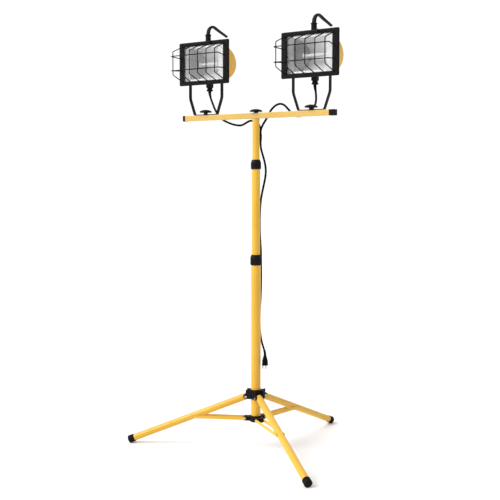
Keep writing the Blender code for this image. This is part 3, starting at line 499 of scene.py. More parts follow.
def screw_head(radius, height, slot_w, slot_d):
    """A pan head with a cross recess, on +Z from its seat at z = 0."""
    head = lathe([
        (radius * 0.9, -0.0004), (radius, 0.0), (radius, height * 0.35), (radius * 0.9, height * 0.72),
        (radius * 0.6, height * 0.95), (radius * 0.2, height), (0.0, height),
    ], 40)
    for vert in head.verts:
        flat = max(abs(vert.co.x), abs(vert.co.y))
        thin = min(abs(vert.co.x), abs(vert.co.y))
        if thin < slot_w and flat < radius * 0.62 and vert.co.z > 0:
            vert.co.z -= slot_d
    return head


def polish(node, material, width, segments=2):
    """Keeps a CAD solid's shape, gives it its surface and breaks its sharp edges."""
    shown = frame["nodes"][node]
    shown.data.materials.clear()
    shown.data.materials.append(LOOKS[material])
    if width:
        welded(shown, 0.00001)
        bevel = shown.modifiers.new("break_edges", "BEVEL")
        bevel.width = width
        bevel.segments = segments
        bevel.limit_method = "ANGLE"
        bevel.angle_limit = math.radians(40.0)
        normals = shown.modifiers.new("normals", "WEIGHTED_NORMAL")
        normals.keep_sharp = True


# ---- cords ----
CORD_R = 0.0038                  # leads and main cord alike
SPLITTER_AZIMUTH = 37.0          # the way the moulded joint's thin side faces
LEAD_ROUTES = {
    "left": [
        (-0.2325, 0.0240, 1.3092), (-0.2325, 0.0240, 1.3020), (-0.2270, 0.0236, 1.2830),
        (-0.2160, 0.0230, 1.2600), (-0.2035, 0.0226, 1.2370), (-0.1870, 0.0222, 1.2160),
        (-0.1660, 0.0220, 1.2010), (-0.1400, 0.0220, 1.1900), (-0.1140, 0.0220, 1.1825),
        (-0.0900, 0.0222, 1.1795), (-0.0770, 0.0226, 1.1814), (-0.0635, 0.0232, 1.1872),
        (-0.0500, 0.0238, 1.1932), (-0.0370, 0.0248, 1.1950), (-0.0208, 0.0272, 1.1906),
        (-0.0089, 0.0308, 1.1788), (-0.0046, 0.0333, 1.1630), (-0.0045, 0.0337, 1.1545),
        (-0.0045, 0.0337, 1.1464),
    ],
    "right": [
        (0.2350, 0.0240, 1.3092), (0.2351, 0.0240, 1.3010), (0.2380, 0.0252, 1.2790),
        (0.2375, 0.0268, 1.2560), (0.2320, 0.0270, 1.2380), (0.2180, 0.0240, 1.2210),
        (0.1980, 0.0205, 1.2095), (0.1780, 0.0188, 1.2040), (0.1600, 0.0186, 1.2050),
        (0.1430, 0.0192, 1.2140), (0.1270, 0.0200, 1.2290), (0.1090, 0.0212, 1.2440),
        (0.0900, 0.0222, 1.2500), (0.0700, 0.0224, 1.2450), (0.0520, 0.0218, 1.2310),
        (0.0400, 0.0208, 1.2130), (0.0298, 0.0214, 1.1985), (0.0190, 0.0228, 1.1860),
        (0.0098, 0.0245, 1.1745), (0.0032, 0.0262, 1.1630), (0.0006, 0.0271, 1.1545),
        (0.0003, 0.0273, 1.1464),
    ],
}
MAIN_ROUTE = [
    (-0.0021, 0.0305, 1.1266), (-0.0021, 0.0305, 1.1180), (-0.0008, 0.0297, 1.1050),
    (0.0036, 0.0278, 1.0880), (0.0120, 0.0256, 1.0690), (0.0205, 0.0242, 1.0470),
    (0.0256, 0.0242, 1.0210), (0.0252, 0.0232, 0.9960), (0.0212, 0.0208, 0.9700),
    (0.0155, 0.0192, 0.9440), (0.0095, 0.0186, 0.9150), (0.0050, 0.0192, 0.8800),
    (0.0028, 0.0197, 0.8400), (0.0022, 0.0207, 0.8000), (0.0026, 0.0232, 0.7620),
    (0.0030, 0.0258, 0.7300), (0.0036, 0.0262, 0.7000), (0.0046, 0.0254, 0.6700),
    (0.0056, 0.0242, 0.6350), (0.0058, 0.0234, 0.5950), (0.0042, 0.0228, 0.5500),
    (0.0014, 0.0226, 0.5100), (0.0004, 0.0226, 0.4700), (0.0020, 0.0224, 0.4350),
    (0.0068, 0.0216, 0.4080), (0.0142, 0.0198, 0.3870), (0.0224, 0.0172, 0.3720),
    (0.0278, 0.0157, 0.3610), (0.0296, 0.0153, 0.3520), (0.0298, 0.0153, 0.3486),
    (0.0298, 0.0153, 0.3455),
]
LEAD_SPLIT_Z = 1.2165            # below this a lead belongs to the crossbar
MAIN_SPLITS = (1.0560, 0.8000)   # heights where the main cord passes from one mast stage to the next
CORD_STEP = 0.003                # spacing of the points along a cord
NECK_TOP = 0.0730                # top of the sleeve above the tips of the plug's pins


def route_line(route, spacing=CORD_STEP):
    """A cord's centre line, from its route about the mast's axis."""
    return [MAST + point for point in smooth_line(route, spacing)]


def cord_tube(name, line, node, below, above, start, end, **facts):
    """One stretch of cord between the two bodies that hold its ends, swept along its line."""
    made = piece(name, sweep(line, CORD_R, 20, False), "cord_rubber", None, [node], 60.0)
    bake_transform(made)


def first_below(line, height):
    return next(index for index, point in enumerate(line) if point.z < height)


def make_leads():
    for side, route in LEAD_ROUTES.items():
        line = route_line(route)
        split = first_below(line, LEAD_SPLIT_Z)
        upper = line[:split + 1]
        lower = line[split:]
        cord_tube(f"lead_{side}_drop", upper, "lead_" + side, "yoke_" + side, "head_" + side,
                  upper[-6], upper[4], far_end="object")
        cord_tube(f"lead_{side}_run", lower, "lead_" + side, "bar", "yoke_" + side,
                  lower[min(40, len(lower) - 1)], lower[1], far_end="object")


def make_main_cord():
    line = route_line(MAIN_ROUTE)
    first, second = [first_below(line, height) for height in MAIN_SPLITS]
    stretches = (
        ("main_cord_top", line[:first + 1], "top", "bar", {"far_end": "object"}),
        ("main_cord_middle", line[first:second + 1], "mid", "top", {"far_end": "object"}),
        ("main_cord_lower", line[second:], "base", "mid", {"far_end": "plug", "with_pieces": ["plug_body"]}),
    )
    for name, stretch, below, above, facts in stretches:
        cord_tube(name, stretch, "main_cord", below, above, stretch[-2], stretch[1], **facts)


def make_splitter():
    """Moulded cord joint: a rounded body with grip ribs and short necks over the three cords."""
    centre = middle("cord_splitter")
    turn = Matrix.Rotation(math.radians(SPLITTER_AZIMUTH), 4, "Z")
    body = rounded_box((-0.0047, -0.0081, -0.0095), (0.0047, 0.0081, 0.0095), 0.0024, 4)
    ribs = [
        rounded_box((-0.0051, -0.0085, height - 0.0008), (0.0051, 0.0085, height + 0.0008), 0.0006, 2)
        for height in (-0.0052, -0.0026, 0.0, 0.0026, 0.0052)
    ]
    block = moved(merged(body, *ribs), Matrix.Translation(centre) @ turn)
    neck = lathe([(0.0, 0.0010), (0.0046, 0.0010), (0.0046, -0.0010), (0.0041, -0.0050), (0.0, -0.0050)], 32)
    necks = [shifted(neck, MAST + Vector(MAIN_ROUTE[0]))]
    for route in LEAD_ROUTES.values():
        neck = lathe([
            (0.0, 0.0045), (0.0040, 0.0045), (0.0043, 0.0005), (0.0043, -0.0012), (0.0, -0.0012),
        ], 32)
        necks.append(shifted(neck, MAST + Vector(route[-1])))
    piece("splitter_body", merged(block, *necks), "cord_rubber", "bar", ["cord_splitter"])


PIN_REACH = 0.0150               # the plug's face above the tips of its pins


def make_plug():
    """Moulded three-pin plug, pins down, with a ribbed grip and a tapered neck."""
    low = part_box("plug")[0]
    axis = axis_of("plug")
    face = low.z + PIN_REACH
    body = turned([
        (0.0054, face + 0.0350), (0.0062, face + 0.0320), (0.0080, face + 0.0262), (0.0093, face + 0.0210),
        (0.0101, face + 0.0065), (0.0116, face + 0.0045), (0.0117, face + 0.0010), (0.0110, face),
    ], 40)
    ribs = []
    for index in range(4):
        height = face + 0.0090 + index * 0.0028
        ribs.append(lathe([
            (0.0086, height - 0.0008), (0.0106, height - 0.0005), (0.0106, height + 0.0005),
            (0.0086, height + 0.0008),
        ], 40))
    piece("plug_body", shifted(merged(body, *ribs), axis), "cord_rubber", "base", ["plug"])
    neck = [point for point in route_line(MAIN_ROUTE) if point.z < low.z + NECK_TOP][::-1]
    piece("plug_neck", sweep(neck, lambda share: 0.0052 - 0.0011 * share, 24), "cord_rubber", "base")
    blades = [
        rounded_box((x - 0.00075, -0.0070, face - 0.0140), (x + 0.00075, -0.0008, face + 0.0010), 0.0004, 2)
        for x in (-0.00635, 0.00635)
    ]
    ground = turned([(0.0023, face + 0.001), (0.0023, face - 0.0135), (0.0014, face - PIN_REACH)], 20)
    piece("plug_pins", shifted(merged(*blades, shifted(ground, (0, 0.0060, 0))), axis), "zinc_steel", "base")


# ---- mast ----
TUBE_WALL = 0.0014
COLLARS = (("lower", "collar_low", 0.0153), ("upper", "collar_up", 0.0130))   # name, body, bore
COLLAR_STEP = 0.0015             # height between a collar's rows of points, for flutes with clear ends


def tube_skin(outer, wall, bottom, top):
    """A tube with its end edges rolled over."""
    roll = min(0.0005, wall / 3)
    inner = outer - wall
    return lathe([
        (inner, bottom), (inner + roll, bottom), (outer - roll, bottom), (outer, bottom + roll),
        (outer, top - roll), (outer - roll, top), (inner + roll, top), (inner, top - roll),
    ], 64, hollow=True)


def make_mast():
    for node, body in (("lower_tube", "base"), ("mid_tube", "mid"), ("top_tube", "top")):
        low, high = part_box(node)
        builder = shifted(tube_skin((high.x - low.x) / 2, TUBE_WALL, low.z, high.z), MAST)
        piece(node + "_skin", builder, "yellow_paint", body, [node])


def make_collars():
    """Twist-lock collars: a fluted grip below a plain tapered neck."""
    for name, body, bore in COLLARS:
        low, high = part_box("collar_" + name)
        outer = (high.x - low.x) / 2
        top = high.z
        bottom = low.z
        neck = bore + 0.0017
        profile = softened([
            (bore, top), (neck, top), (neck + 0.0006, top - 0.0020), (outer - 0.0012, top - 0.0080),
            (outer, top - 0.0098), (outer, bottom + 0.0040), (outer - 0.0008, bottom + 0.0030),
            (outer - 0.0008, bottom + 0.0010), (outer - 0.0014, bottom), (bore, bottom),
        ], 0.0007)
        dense = []
        for first, second in zip(profile, profile[1:]):
            steps = max(1, round(abs(second[1] - first[1]) / COLLAR_STEP))
            dense += [Vector(first).lerp(Vector(second), step / steps) for step in range(steps)]
        dense.append(profile[-1])
        span = (bottom + 0.0060, top - 0.0115)
        builder = lathe(dense, 192, 24, 0.0011, span, True)
        piece(f"collar_{name}_grip", shifted(builder, MAST), "black_plastic", body, ["collar_" + name])


# ---- tripod ----
LEG_REACH = 0.4814
LEG_END_Z = 0.01165
LEG_R = 0.0125
FOOT_R = 0.0143


def leg_matrix(name):
    """From a leg's own frame, its pivot at the origin and its tube down -Z, to the object's."""
    pivot = Vector(JOINTS["leg_hinge_" + name]["pos_m"])
    outward = Vector((pivot.x - MAST.x, pivot.y - MAST.y, 0.0)).normalized()
    foot = MAST + outward * LEG_REACH
    foot.z = LEG_END_Z
    direction = (foot - pivot).normalized()
    across = Vector((0, 0, 1)).cross(outward)
    down = -direction
    side = across.cross(down)
    matrix = Matrix((side, across, down)).transposed().to_4x4()
    return Matrix.Translation(pivot) @ matrix, (foot - pivot).length


def make_legs():
    for name in LEGS:
        matrix, length = leg_matrix(name)
        turns = [step * math.pi / 20 for step in range(11)]
        dome = [(LEG_R * math.sin(turn), LEG_R * math.cos(turn)) for turn in turns]
        tube = lathe(dome + [(LEG_R, -length + 0.010)], 56)
        piece(f"leg_{name}_skin", moved(tube, matrix), "yellow_paint", "leg_" + name, ["leg_" + name])
        mouth = -length + 0.0240
        profile = [(LEG_R - 0.001, mouth), (LEG_R + 0.0006, mouth), (FOOT_R, mouth - 0.0012)]
        for index in range(3):
            ring = mouth - 0.0050 - index * 0.0034
            profile += [
                (FOOT_R, ring + 0.0009), (FOOT_R - 0.0006, ring + 0.0005), (FOOT_R - 0.0006, ring - 0.0005),
                (FOOT_R, ring - 0.0009),
            ]
        profile += [(FOOT_R, -length + 0.0018), (FOOT_R - 0.0018, -length), (0.0, -length)]
        foot = moved(lathe(softened(profile, 0.0005, 2), 56), matrix)
        for vert in foot.verts:
            vert.co.z = max(vert.co.z, 0.0)
        piece(f"foot_{name}_cap", foot, "black_rubber", "leg_" + name, ["foot_" + name])
        polish("brace_" + name, "yellow_paint", 0.0004)
        polish("leg_pin_" + name, "zinc_steel", 0.0004)
    polish("leg_hub", "black_plastic", 0.0006, 3)
    polish("strut_hub", "black_plastic", 0.0007, 3)
    polish("hub_lock_screw", "black_plastic", 0.0005)


# ---- crossbar ----
def make_bar():
    # The crossbar gets the paler yellow copy: painted highlight.
    polish("crossbar", "yellow_painted_highlight", 0.0)
    for side in SIDES:
        polish("end_cap_" + side, "black_plastic", 0.0004)
    polish("mast_plug", "zinc_steel", 0.0003)


KNOB_R = 0.0230


def knob_skin(seat, underside, top, stem):
    """A round knob with a low dome, a finely notched rim and a waisted stem."""
    rise = top - underside
    profile = softened([
        (0.0, top), (KNOB_R * 0.30, top - rise * 0.03), (KNOB_R * 0.60, top - rise * 0.17),
        (KNOB_R * 0.86, top - rise * 0.42), (KNOB_R * 0.97, top - rise * 0.62), (KNOB_R, top - rise * 0.74),
        (KNOB_R, underside + rise * 0.12), (KNOB_R * 0.96, underside), (KNOB_R * 0.80, underside + 0.0008),
        (stem + 0.0030, underside + 0.0004), (stem, underside - 0.0012), (stem, seat), (0.0, seat),
    ], 0.0008)
    return lathe(profile, 144, 36, 0.0006, (underside, top - rise * 0.60))


def make_knobs():
    low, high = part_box("mast_knob")
    builder = knob_skin(low.z, high.z - 0.0100, high.z, 0.0078)
    piece("mast_knob_cap", shifted(builder, MAST), "black_plastic", "mast_knob", ["mast_knob"])
    for side in SIDES:
        low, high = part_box("yoke_knob_" + side)
        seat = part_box("yoke_" + side)[0].z + 0.0033
        builder = knob_skin(seat, high.z - 0.0105, high.z, 0.0072)
        stud = lathe([(0.0, seat + 0.001), (0.0039, seat + 0.001), (0.0039, low.z), (0.0, low.z)], 24)
        head_piece(side, f"yoke_knob_{side}_cap", builder, "black_plastic", "yoke_knob", "yoke_knob")
        head_piece(side, f"yoke_knob_{side}_stud", stud, "zinc_steel", "yoke_knob")


# ---- heads, built about each yoke's stud ----
HEAD_Z = 1.4112
TILT_Z = 1.4050
YOKE_Y = 0.0020                  # middle of the yoke's strip, and the tilt axis
YOKE_HALF_W = 0.0755
YOKE_LOW_HALF_W = 0.0530         # where the arms start to rise from the strip's flat foot
YOKE_SHOULDER_Z = 1.2830
YOKE_BENDS = (0.0450, 0.0060, 0.0060, 0.0450)
FRAME_OUTER = (0.1170, 0.07925)  # half width and half height
FRAME_INNER = (0.0920, 0.0637)
FRAME_REBATE = (0.1060, 0.0685)
FRAME_FRONT = -0.0140
FRAME_BACK = -0.0062
FRAME_PLATE = 0.0019             # thickness of the frame's front face
PANE_HALF = (0.0990, 0.0670)
SHELL = (0.0890, 0.0615)         # housing skin: depth behind the frame, half height
RIB = (0.0943, 0.0653)
RIB_SPACING = 0.0204
RIB_HALF = 0.0009                # half of a rib's flat top
END_RIB = 0.0022                 # the flat top of the two end ribs
RIB_SLOPE = 0.0011               # width of a rib's side
SHELL_FRONT = -0.0070
SHELL_EDGE = 0.0016              # radius of the edge round the shell's ends
HOUSING_HALF_W = 0.0714


def outline(half_w, half_h, radius, y):
    """A rounded rectangle about the head's middle, at one depth."""
    return [Vector((x, y, HEAD_Z + z)) for x, z in rounded_rectangle(half_w, half_h, radius)]


def strap_skin(line, width, thickness, rounding=0.0007):
    """A flat strip bent along a line in X and Z, its width along Y and its edges rounded."""
    section = rounded_rectangle(width / 2, thickness / 2, rounding, 2)
    loops = []
    for centre, along in zip(line, tangents(line)):
        out = Vector((along.z, 0.0, -along.x))
        loops.append([centre + Vector((0.0, y, 0.0)) + out * t for y, t in section])
    return rings(loops)


def make_yokes():
    for side in SIDES:
        foot_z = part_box("yoke_" + side)[0].z + 0.0015
        corners = [
            (-YOKE_HALF_W, 0, TILT_Z), (-YOKE_HALF_W, 0, YOKE_SHOULDER_Z), (-YOKE_LOW_HALF_W, 0, foot_z),
            (YOKE_LOW_HALF_W, 0, foot_z), (YOKE_HALF_W, 0, YOKE_SHOULDER_Z), (YOKE_HALF_W, 0, TILT_Z),
        ]
        line = [Vector(corners[0])]
        for index, radius in enumerate(YOKE_BENDS):
            line += bent_line(corners[index:index + 3], radius, 12)[1:-1]
        line.append(Vector(corners[-1]))
        parts = [strap_skin(line, 0.0150, 0.0030)]
        for sign in (-1, 1):
            end = turned([(0.0077, 0.0017), (0.0077, -0.0017)], 48, 0.0006)
            parts.append(stood(end, (sign * YOKE_HALF_W, 0, TILT_Z), (1, 0, 0)))
        strap = shifted(merged(*parts), (0, YOKE_Y, 0))
        head_piece(side, f"yoke_{side}_strap", strap, "black_paint", "yoke", "yoke")
        for end in ("outer", "inner"):
            polish(f"tilt_bolt_{side}_{end}", "black_plastic", 0.0004)


def half_ellipse(x, depth, half_h, steps=30):
    """The shell's section: half an ellipse with straight runs forward to the flange."""
    loop = [Vector((x, SHELL_FRONT, HEAD_Z + half_h))]
    for step in range(steps + 1):
        angle = math.pi * (0.5 - step / steps)
        loop.append(Vector((x, depth * math.cos(angle), HEAD_Z + half_h * math.sin(angle))))
    loop.append(Vector((x, SHELL_FRONT, HEAD_Z - half_h)))
    return loop


def housing_skin():
    """The cast rear shell: a rounded trough with raised ribs and flat ends."""
    ribs = [RIB_SPACING * (index - 3) for index in range(7)]
    half = HOUSING_HALF_W

    def raise_at(x):
        gap = min(min(abs(x - rib) for rib in ribs) - RIB_HALF, half - abs(x) - END_RIB)
        return 1.0 - min(max(gap / RIB_SLOPE, 0.0), 1.0)

    stations = []
    count = 260
    for step in range(count + 1):
        x = -half + 2 * half * step / count
        corner = max(0.0, SHELL_EDGE - (half - abs(x)))
        inset = SHELL_EDGE - math.sqrt(max(SHELL_EDGE ** 2 - corner ** 2, 0.0))
        depth, height = [low + (high - low) * raise_at(x) - inset for low, high in zip(SHELL, RIB)]
        stations.append(half_ellipse(x, depth, height))
    shell = rings(stations, close=False, cap=False)
    shell.verts.ensure_lookup_table()
    for end in (stations[0], stations[-1]):
        centre = shell.verts.new((end[0].x, SHELL_FRONT, HEAD_Z))
        verts = [v for v in shell.verts if abs(v.co.x - end[0].x) < 1e-6 and v is not centre]
        rim = sorted(verts, key=lambda v: math.atan2(v.co.z - HEAD_Z, v.co.y - SHELL_FRONT - 1e-4))
        for first, second in zip(rim, rim[1:]):
            shell.faces.new((centre, first, second))
    return shell


def flange_skin():
    """Flat flange behind the front frame, open in the middle."""
    return rings([outline(*corner) for corner in (
        (0.0712, 0.0610, 0.0020, -0.0076), (0.1050, 0.0676, 0.0040, -0.0076),
        (0.1054, 0.0680, 0.0044, -0.0070), (0.1050, 0.0676, 0.0040, -0.0063),
        (0.0712, 0.0610, 0.0020, -0.0063), (0.0712, 0.0610, 0.0020, -0.0076),
    )], cap=False)


def make_housings():
    for side in SIDES:
        bosses = []
        for sign in (-1, 1):
            boss = turned([(0.0076, 0.0), (0.0070, 0.0018)], 40, 0.0005)
            at = (sign * (HOUSING_HALF_W - 0.0004), YOKE_Y, TILT_Z)
            bosses.append(stood(boss, at, (sign, 0, 0)))
        builder = merged(housing_skin(), flange_skin(), *bosses)
        made = head_piece(
            side, f"housing_{side}_cast", builder, "yellow_paint", stands_for="housing", sharp=34.0
        )
        welded(made, 0.00002)


RIM_Y = -0.0084
TROUGH_DEPTH = 0.0720
TROUGH_HALF_H = 0.0570
TROUGH_MOUTH = 0.0670            # half width at the rim
TROUGH_FLOOR = 0.0480            # half width at the deepest line
RIM_HALF = (0.0955, 0.0648)
WING_END = 0.0952
WING_HALF_H = 0.0640


def make_reflectors():
    """Pebbled trough, sloping end walls and flat rim."""
    for side in SIDES:
        loops = []
        steps = 40
        for step in range(steps + 1):
            angle = math.pi * step / steps
            y = RIM_Y + (TROUGH_DEPTH - RIM_Y) * math.sin(angle)
            z = HEAD_Z + TROUGH_HALF_H * math.cos(angle)
            half = TROUGH_MOUTH + (TROUGH_FLOOR - TROUGH_MOUTH) * math.sin(angle)
            loops.append([Vector((half * (2 * index / 24 - 1), y, z)) for index in range(25)])
        trough = rings(loops, close=False, cap=False)
        walls = []
        for sign in (-1, 1):
            wall_loops = []
            for loop in loops:
                edge = loop[0] if sign < 0 else loop[-1]
                inner = Vector((sign * TROUGH_MOUTH, RIM_Y, edge.z))
                wall_loops.append([inner.lerp(edge, index / 10) for index in range(11)])
            walls.append(rings(wall_loops[1:-1], close=False, cap=False))
        rim = rings([
            outline(TROUGH_MOUTH, TROUGH_HALF_H, 0.0004, RIM_Y), outline(*RIM_HALF, 0.0030, RIM_Y),
        ], cap=False)
        made = head_piece(
            side, f"reflector_{side}_sheet", merged(trough, rim), "bright_reflector", stands_for="reflector"
        )
        welded(made, 0.00002)
        # Painted shade: the left end wall and its wing get a darker sheet, darkest on the right head.
        shaded = "deep_shade_painted_aluminium" if side == "right" else "shade_painted_aluminium"
        for wing, near, far, surface, parts in (
            ("left", -WING_END, -TROUGH_MOUTH, shaded, walls),
            ("right", TROUGH_MOUTH, WING_END, "plain_aluminium", []),
        ):
            sheet = rounded_box(
                (near, RIM_Y - 0.0003, HEAD_Z - WING_HALF_H), (far, RIM_Y - 0.0001, HEAD_Z + WING_HALF_H),
                0.0001, 1,
            )
            head_piece(side, f"reflector_{side}_{wing}_wing", merged(sheet, *parts), surface)


LAMP_Y = 0.0300
LAMP_HALF = 0.0460
COIL_R = 0.0011
COIL_HALF = 0.030
COIL_TURNS = 40


def make_lamps():
    """Linear halogen lamp: quartz tube, coiled filament, pinched ends in ceramic caps, spring bracket."""
    turn = Matrix.Translation((0, LAMP_Y, HEAD_Z)) @ aimed((1, 0, 0))
    half = LAMP_HALF - 0.0100
    for side in SIDES:
        tube = lathe(softened([
            (0.0, half + 0.0020), (0.0032, half + 0.0006), (0.0049, half - 0.0030), (0.0049, -half + 0.0030),
            (0.0032, -half - 0.0006), (0.0, -half - 0.0020),
        ], 0.0012), 40)
        head_piece(side, f"lamp_{side}_tube", moved(tube, turn), "quartz", stands_for="lamp")
        coil = []
        for step in range(COIL_TURNS * 8 + 1):
            angle = 2 * math.pi * step / 8
            along = COIL_HALF * (2 * step / (COIL_TURNS * 8) - 1)
            coil.append(Vector((COIL_R * math.cos(angle), COIL_R * math.sin(angle), along)))
        head_piece(side, f"lamp_{side}_filament", moved(sweep(coil, 0.0003, 6), turn), "tungsten")
        caps = []
        for sign in (-1, 1):
            middle_z = sign * (half + 0.0030)
            pinch = rounded_box(
                (-0.0010, -0.0030, middle_z - 0.0035), (0.0010, 0.0030, middle_z + 0.0035), 0.0006
            )
            cap = turned([
                (0.0034, LAMP_HALF), (0.0038, LAMP_HALF - 0.0010), (0.0038, half + 0.0040),
                (0.0030, half + 0.0034),
            ], 32)
            if sign < 0:
                moved(cap, Matrix.Rotation(math.pi, 4, "X"))
            caps += [pinch, cap]
        head_piece(side, f"lamp_{side}_caps", moved(merged(*caps), turn), "ceramic")
        socket_in = LAMP_HALF + 0.0003
        back = LAMP_Y + 0.0150
        bracket = rounded_box(
            (-socket_in - 0.006, back - 0.0010, HEAD_Z - 0.0060), (socket_in + 0.006, back, HEAD_Z + 0.0060),
            0.0004,
        )
        sockets = []
        for sign in (-1, 1):
            low, high = sorted((sign * socket_in, sign * (socket_in + 0.0062)))
            sockets.append(rounded_box(
                (low, LAMP_Y - 0.0060, HEAD_Z - 0.0070), (high, back - 0.0006, HEAD_Z + 0.0070), 0.0016
            ))
        head_piece(
            side, f"lamp_holder_{side}_sockets", merged(*sockets), "ceramic", stands_for="lamp_holder"
        )
        head_piece(side, f"lamp_holder_{side}_bracket", bracket, "zinc_steel")


def make_doors():
    """The front frame, its glass, and the wire guard welded to it."""

    def around(half, more, rounding, y):
        return outline(half[0] + more, half[1] + more, rounding, y)

    front = FRAME_FRONT
    inside = front + FRAME_PLATE
    section = (
        (FRAME_REBATE, 0.0, 0.0030, FRAME_BACK), (FRAME_OUTER, -0.0008, 0.0042, FRAME_BACK),
        (FRAME_OUTER, 0.0, 0.0050, FRAME_BACK - 0.0008), (FRAME_OUTER, 0.0, 0.0050, front + 0.0026),
        (FRAME_OUTER, -0.0006, 0.0046, front + 0.0012), (FRAME_OUTER, -0.0020, 0.0038, front + 0.0002),
        (FRAME_OUTER, -0.0032, 0.0032, front), (FRAME_INNER, 0.0016, 0.0030, front),
        (FRAME_INNER, 0.0004, 0.0026, front + 0.0004), (FRAME_INNER, 0.0, 0.0024, front + 0.0012),
        (FRAME_INNER, 0.0, 0.0024, inside - 0.0001), (FRAME_REBATE, 0.0, 0.0030, inside),
        (FRAME_REBATE, 0.0, 0.0030, FRAME_BACK),
    )
    for side in SIDES:
        pressing = rings([around(*corner) for corner in section], cap=False)
        welded(head_piece(side, f"bezel_{side}_pressing", pressing, "black_paint", "door", "bezel"), 0.00001)
        pane = rings([
            around(PANE_HALF, inset, 0.0020, y)
            for inset, y in ((-0.0006, -0.0118), (0.0, -0.0112), (0.0, -0.0096), (-0.0006, -0.0090))
        ])
        head_piece(side, f"glass_{side}_pane", pane, "clear_glass", "door", "glass")
        make_guard(side)


WIRE_R = 0.0018
WIRE_BEND = 0.0060
WIRE_SPACING = 0.0397
GUARD_FACE = -0.0695


def make_guard(side):
    """Six upright wires bowed over the glass, and two long ones welded across them."""
    back = FRAME_FRONT - 0.0002
    across = GUARD_FACE + WIRE_R * 1.5
    routes = []
    for index in range(6):
        x = WIRE_SPACING * (index - 2.5)
        routes.append([
            (x, back, HEAD_Z + 0.0650), (x, GUARD_FACE, HEAD_Z + 0.0425), (x, GUARD_FACE, HEAD_Z - 0.0425),
            (x, back, HEAD_Z - 0.0650),
        ])
    for z, root_z in ((0.0265, 0.0205), (-0.0265, -0.0235)):
        routes.append([
            (-0.1010, back, HEAD_Z + root_z), (-0.1135, across, HEAD_Z + z), (0.1135, across, HEAD_Z + z),
            (0.1010, back, HEAD_Z + root_z),
        ])
    wires = [sweep(bent_line(route, WIRE_BEND), WIRE_R, 14, False) for route in routes]
    head_piece(side, f"guard_{side}_wires", merged(*wires), "black_paint", "door", "guard")


def make_latches():
    """Notched thumbscrew with a flat wing across it, and a small spring tab below it."""
    for side in SIDES:
        centre = middle("latch_screw_" + side)
        seat = Vector((centre.x, MAST.y + FRAME_FRONT - 0.0003, centre.z))
        head = turned([(0.0036, 0.0032), (0.0042, 0.0024), (0.0042, 0.0)], 60,
                      flutes=20, depth=0.0003, flute_span=(0.0, 0.0026))
        stood(head, seat, (0, -1, 0))
        wing = rounded_box((-0.0010, -0.0068, -0.0054), (0.0010, -0.0018, 0.0054), 0.0009)
        piece(f"latch_{side}_thumbscrew", merged(head, shifted(wing, seat)), "black_plastic",
              "latch_" + side, ["latch_screw_" + side])
        tab = []
        for sign in (-1, 1):
            line = [(sign * 0.0050, 0.0004, -0.0010), (0.0, -0.0012, -0.0118)]
            tab.append(shifted(sweep(smooth_line(line, 0.002), 0.0010, 10), seat))
        piece(f"latch_{side}_spring", merged(*tab), "black_paint", "door_" + side)


def make_junctions():
    """Terminal box with a screwed lid, the gland under it and the gland's tapered strain relief."""
    for side in SIDES:
        body = "head_" + side
        low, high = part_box("junction_box_" + side)
        block = rounded_box(low, (high.x, high.y, high.z + 0.004), 0.0022, 4)
        lid = rounded_box(
            (low.x + 0.0006, low.y + 0.0006, low.z + 0.0050),
            (high.x - 0.0006, high.y - 0.0006, low.z + 0.0062), 0.0004, 2,
        )
        piece(f"junction_{side}_box", merged(block, lid), "black_plastic", body, ["junction_box_" + side])
        screws = []
        for sign in (-1, 1):
            spot = ((low.x + high.x) / 2 + sign * 0.0062, high.y, low.z + 0.0105)
            screws.append(stood(screw_head(0.0024, 0.0014, 0.0004, 0.0006), spot, (0, 1, 0)))
        piece(f"junction_{side}_screws", merged(*screws), "zinc_steel", body)
        gland = "cord_gland_" + side
        low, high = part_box(gland)
        nut = turned([
            (0.0098, high.z), (0.0098, low.z + 0.0072), (0.0106, low.z + 0.0058), (0.0125, low.z + 0.0036),
            (0.0125, low.z + 0.0012), (0.0106, low.z),
        ], 96, 0.0006, flutes=12, depth=0.0008, flute_span=(low.z + 0.0062, high.z))
        piece(f"gland_{side}_nut", shifted(nut, axis_of(gland)), "black_plastic", body, [gland])
        line = route_line(LEAD_ROUTES[side], 0.0008)[:30]

        def taper(share):
            ridge = 0.0004 * (0.5 + 0.5 * math.cos(share * 2 * math.pi * 6))
            return 0.0058 - 0.0019 * share + ridge * (1.0 - share)

        piece(f"gland_{side}_relief", sweep(line, taper, 24, False), "cord_rubber", body)


HANDLE_Y = 0.0158                # the handle's socket behind the yoke's stud
HOOK = [
    (0, HANDLE_Y, 1.5150), (0, 0.0166, 1.5240), (0, 0.0200, 1.5345), (0, 0.0285, 1.5435),
    (0, 0.0400, 1.5480), (0, 0.0520, 1.5470), (0, 0.0680, 1.5410), (0, 0.0880, 1.5340),
    (0, 0.1080, 1.5275), (0, 0.1250, 1.5215),
]
ROD_FLATNESS = 1.6               # the rod is this many times as wide as it is thick


def make_handles():
    """Plastic carrying handle: socket, collar and a tapered hooked rod."""
    for side in SIDES:
        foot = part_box("handle_" + side)[0].z
        socket = lathe(softened([
            (0.0, 1.5130), (0.0090, 1.5135), (0.0100, 1.5120), (0.0100, 1.4900), (0.0102, 1.4800),
            (0.0105, foot + 0.002), (0.0105, foot), (0.0, foot),
        ]), 48)
        collar = turned([(0.0110, 1.5170), (0.0118, 1.5162), (0.0118, 1.5142), (0.0110, 1.5132)], 48, 0.0005)
        rod = sweep(smooth_line(HOOK, 0.0020), lambda share: 0.0054 - 0.00135 * share, 28)
        moved(rod, Matrix.Diagonal((ROD_FLATNESS, 1.0, 1.0, 1.0)))
        builder = merged(shifted(merged(socket, collar), (0, HANDLE_Y, 0)), rod)
        head_piece(side, f"handle_{side}_hook", builder, "black_plastic", stands_for="handle")


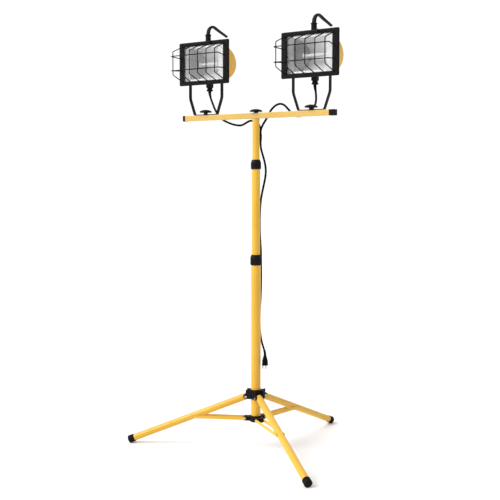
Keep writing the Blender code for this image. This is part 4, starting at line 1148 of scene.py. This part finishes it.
# ---- stage ----
DIM_SIDE = (0.954, -0.300, 0.0)
DIM_SPAN = (-0.35, 0.45)         # how far towards that side the light begins and ends to fall
SKY_LEVELS = (1.06, 0.56)        # the world's strength on the bright side and on the dim one
KEY_FROM = (-0.75, -1.25, 1.30)
KEY_POWER = 2.3
KEY_SPREAD = 35.0                # degrees
FLOOR_HALF = 30.0


def make_stage():
    builder = bmesh.new()
    bmesh.ops.create_grid(builder, x_segments=2, y_segments=2, size=FLOOR_HALF)
    mesh = bpy.data.meshes.new("floor")
    builder.to_mesh(mesh)
    builder.free()
    nodes = Nodes("pale_floor")
    nodes.feed("Base Color", nodes.mixed(nodes.noise(0.8, 2.0), (0.93, 0.93, 0.935), (0.95, 0.95, 0.95)))
    nodes.constant(Roughness=0.9)
    mesh.materials.append(nodes.material)
    placed("floor", mesh)


def make_world():
    """A white studio, dimmer on one side so that round tubes show their roundness."""
    world = bpy.data.worlds.new("studio")
    world.use_nodes = True
    tree = world.node_tree
    background = tree.nodes["Background"]
    background.inputs["Color"].default_value = (1.0, 1.0, 1.0, 1.0)
    place = tree.nodes.new("ShaderNodeTexCoord")
    facing = tree.nodes.new("ShaderNodeVectorMath")
    facing.operation = "DOT_PRODUCT"
    facing.inputs[1].default_value = DIM_SIDE
    level = tree.nodes.new("ShaderNodeMapRange")
    level.interpolation_type = "SMOOTHSTEP"
    set_range(level, *DIM_SPAN, *SKY_LEVELS)
    tree.links.new(place.outputs["Generated"], facing.inputs[0])
    tree.links.new(facing.outputs["Value"], level.inputs["Value"])
    tree.links.new(level.outputs["Result"], background.inputs["Strength"])
    bpy.context.scene.world = world


def make_key():
    """One broad soft lamp from the upper left."""
    data = bpy.data.lights.new("key", "SUN")
    data.energy = KEY_POWER
    data.angle = math.radians(KEY_SPREAD)
    light = placed("key", data)
    light.rotation_euler = (-Vector(KEY_FROM)).to_track_quat("-Z", "Y").to_euler()


bpy.context.scene.view_settings.view_transform = "Standard"
make_camera()
make_materials()
make_plug()
make_leads()
make_main_cord()
make_splitter()
make_mast()
make_collars()
make_legs()
make_bar()
make_knobs()
make_yokes()
make_housings()
make_reflectors()
make_lamps()
make_doors()
make_latches()
make_junctions()
make_handles()
make_stage()
make_world()
make_key()
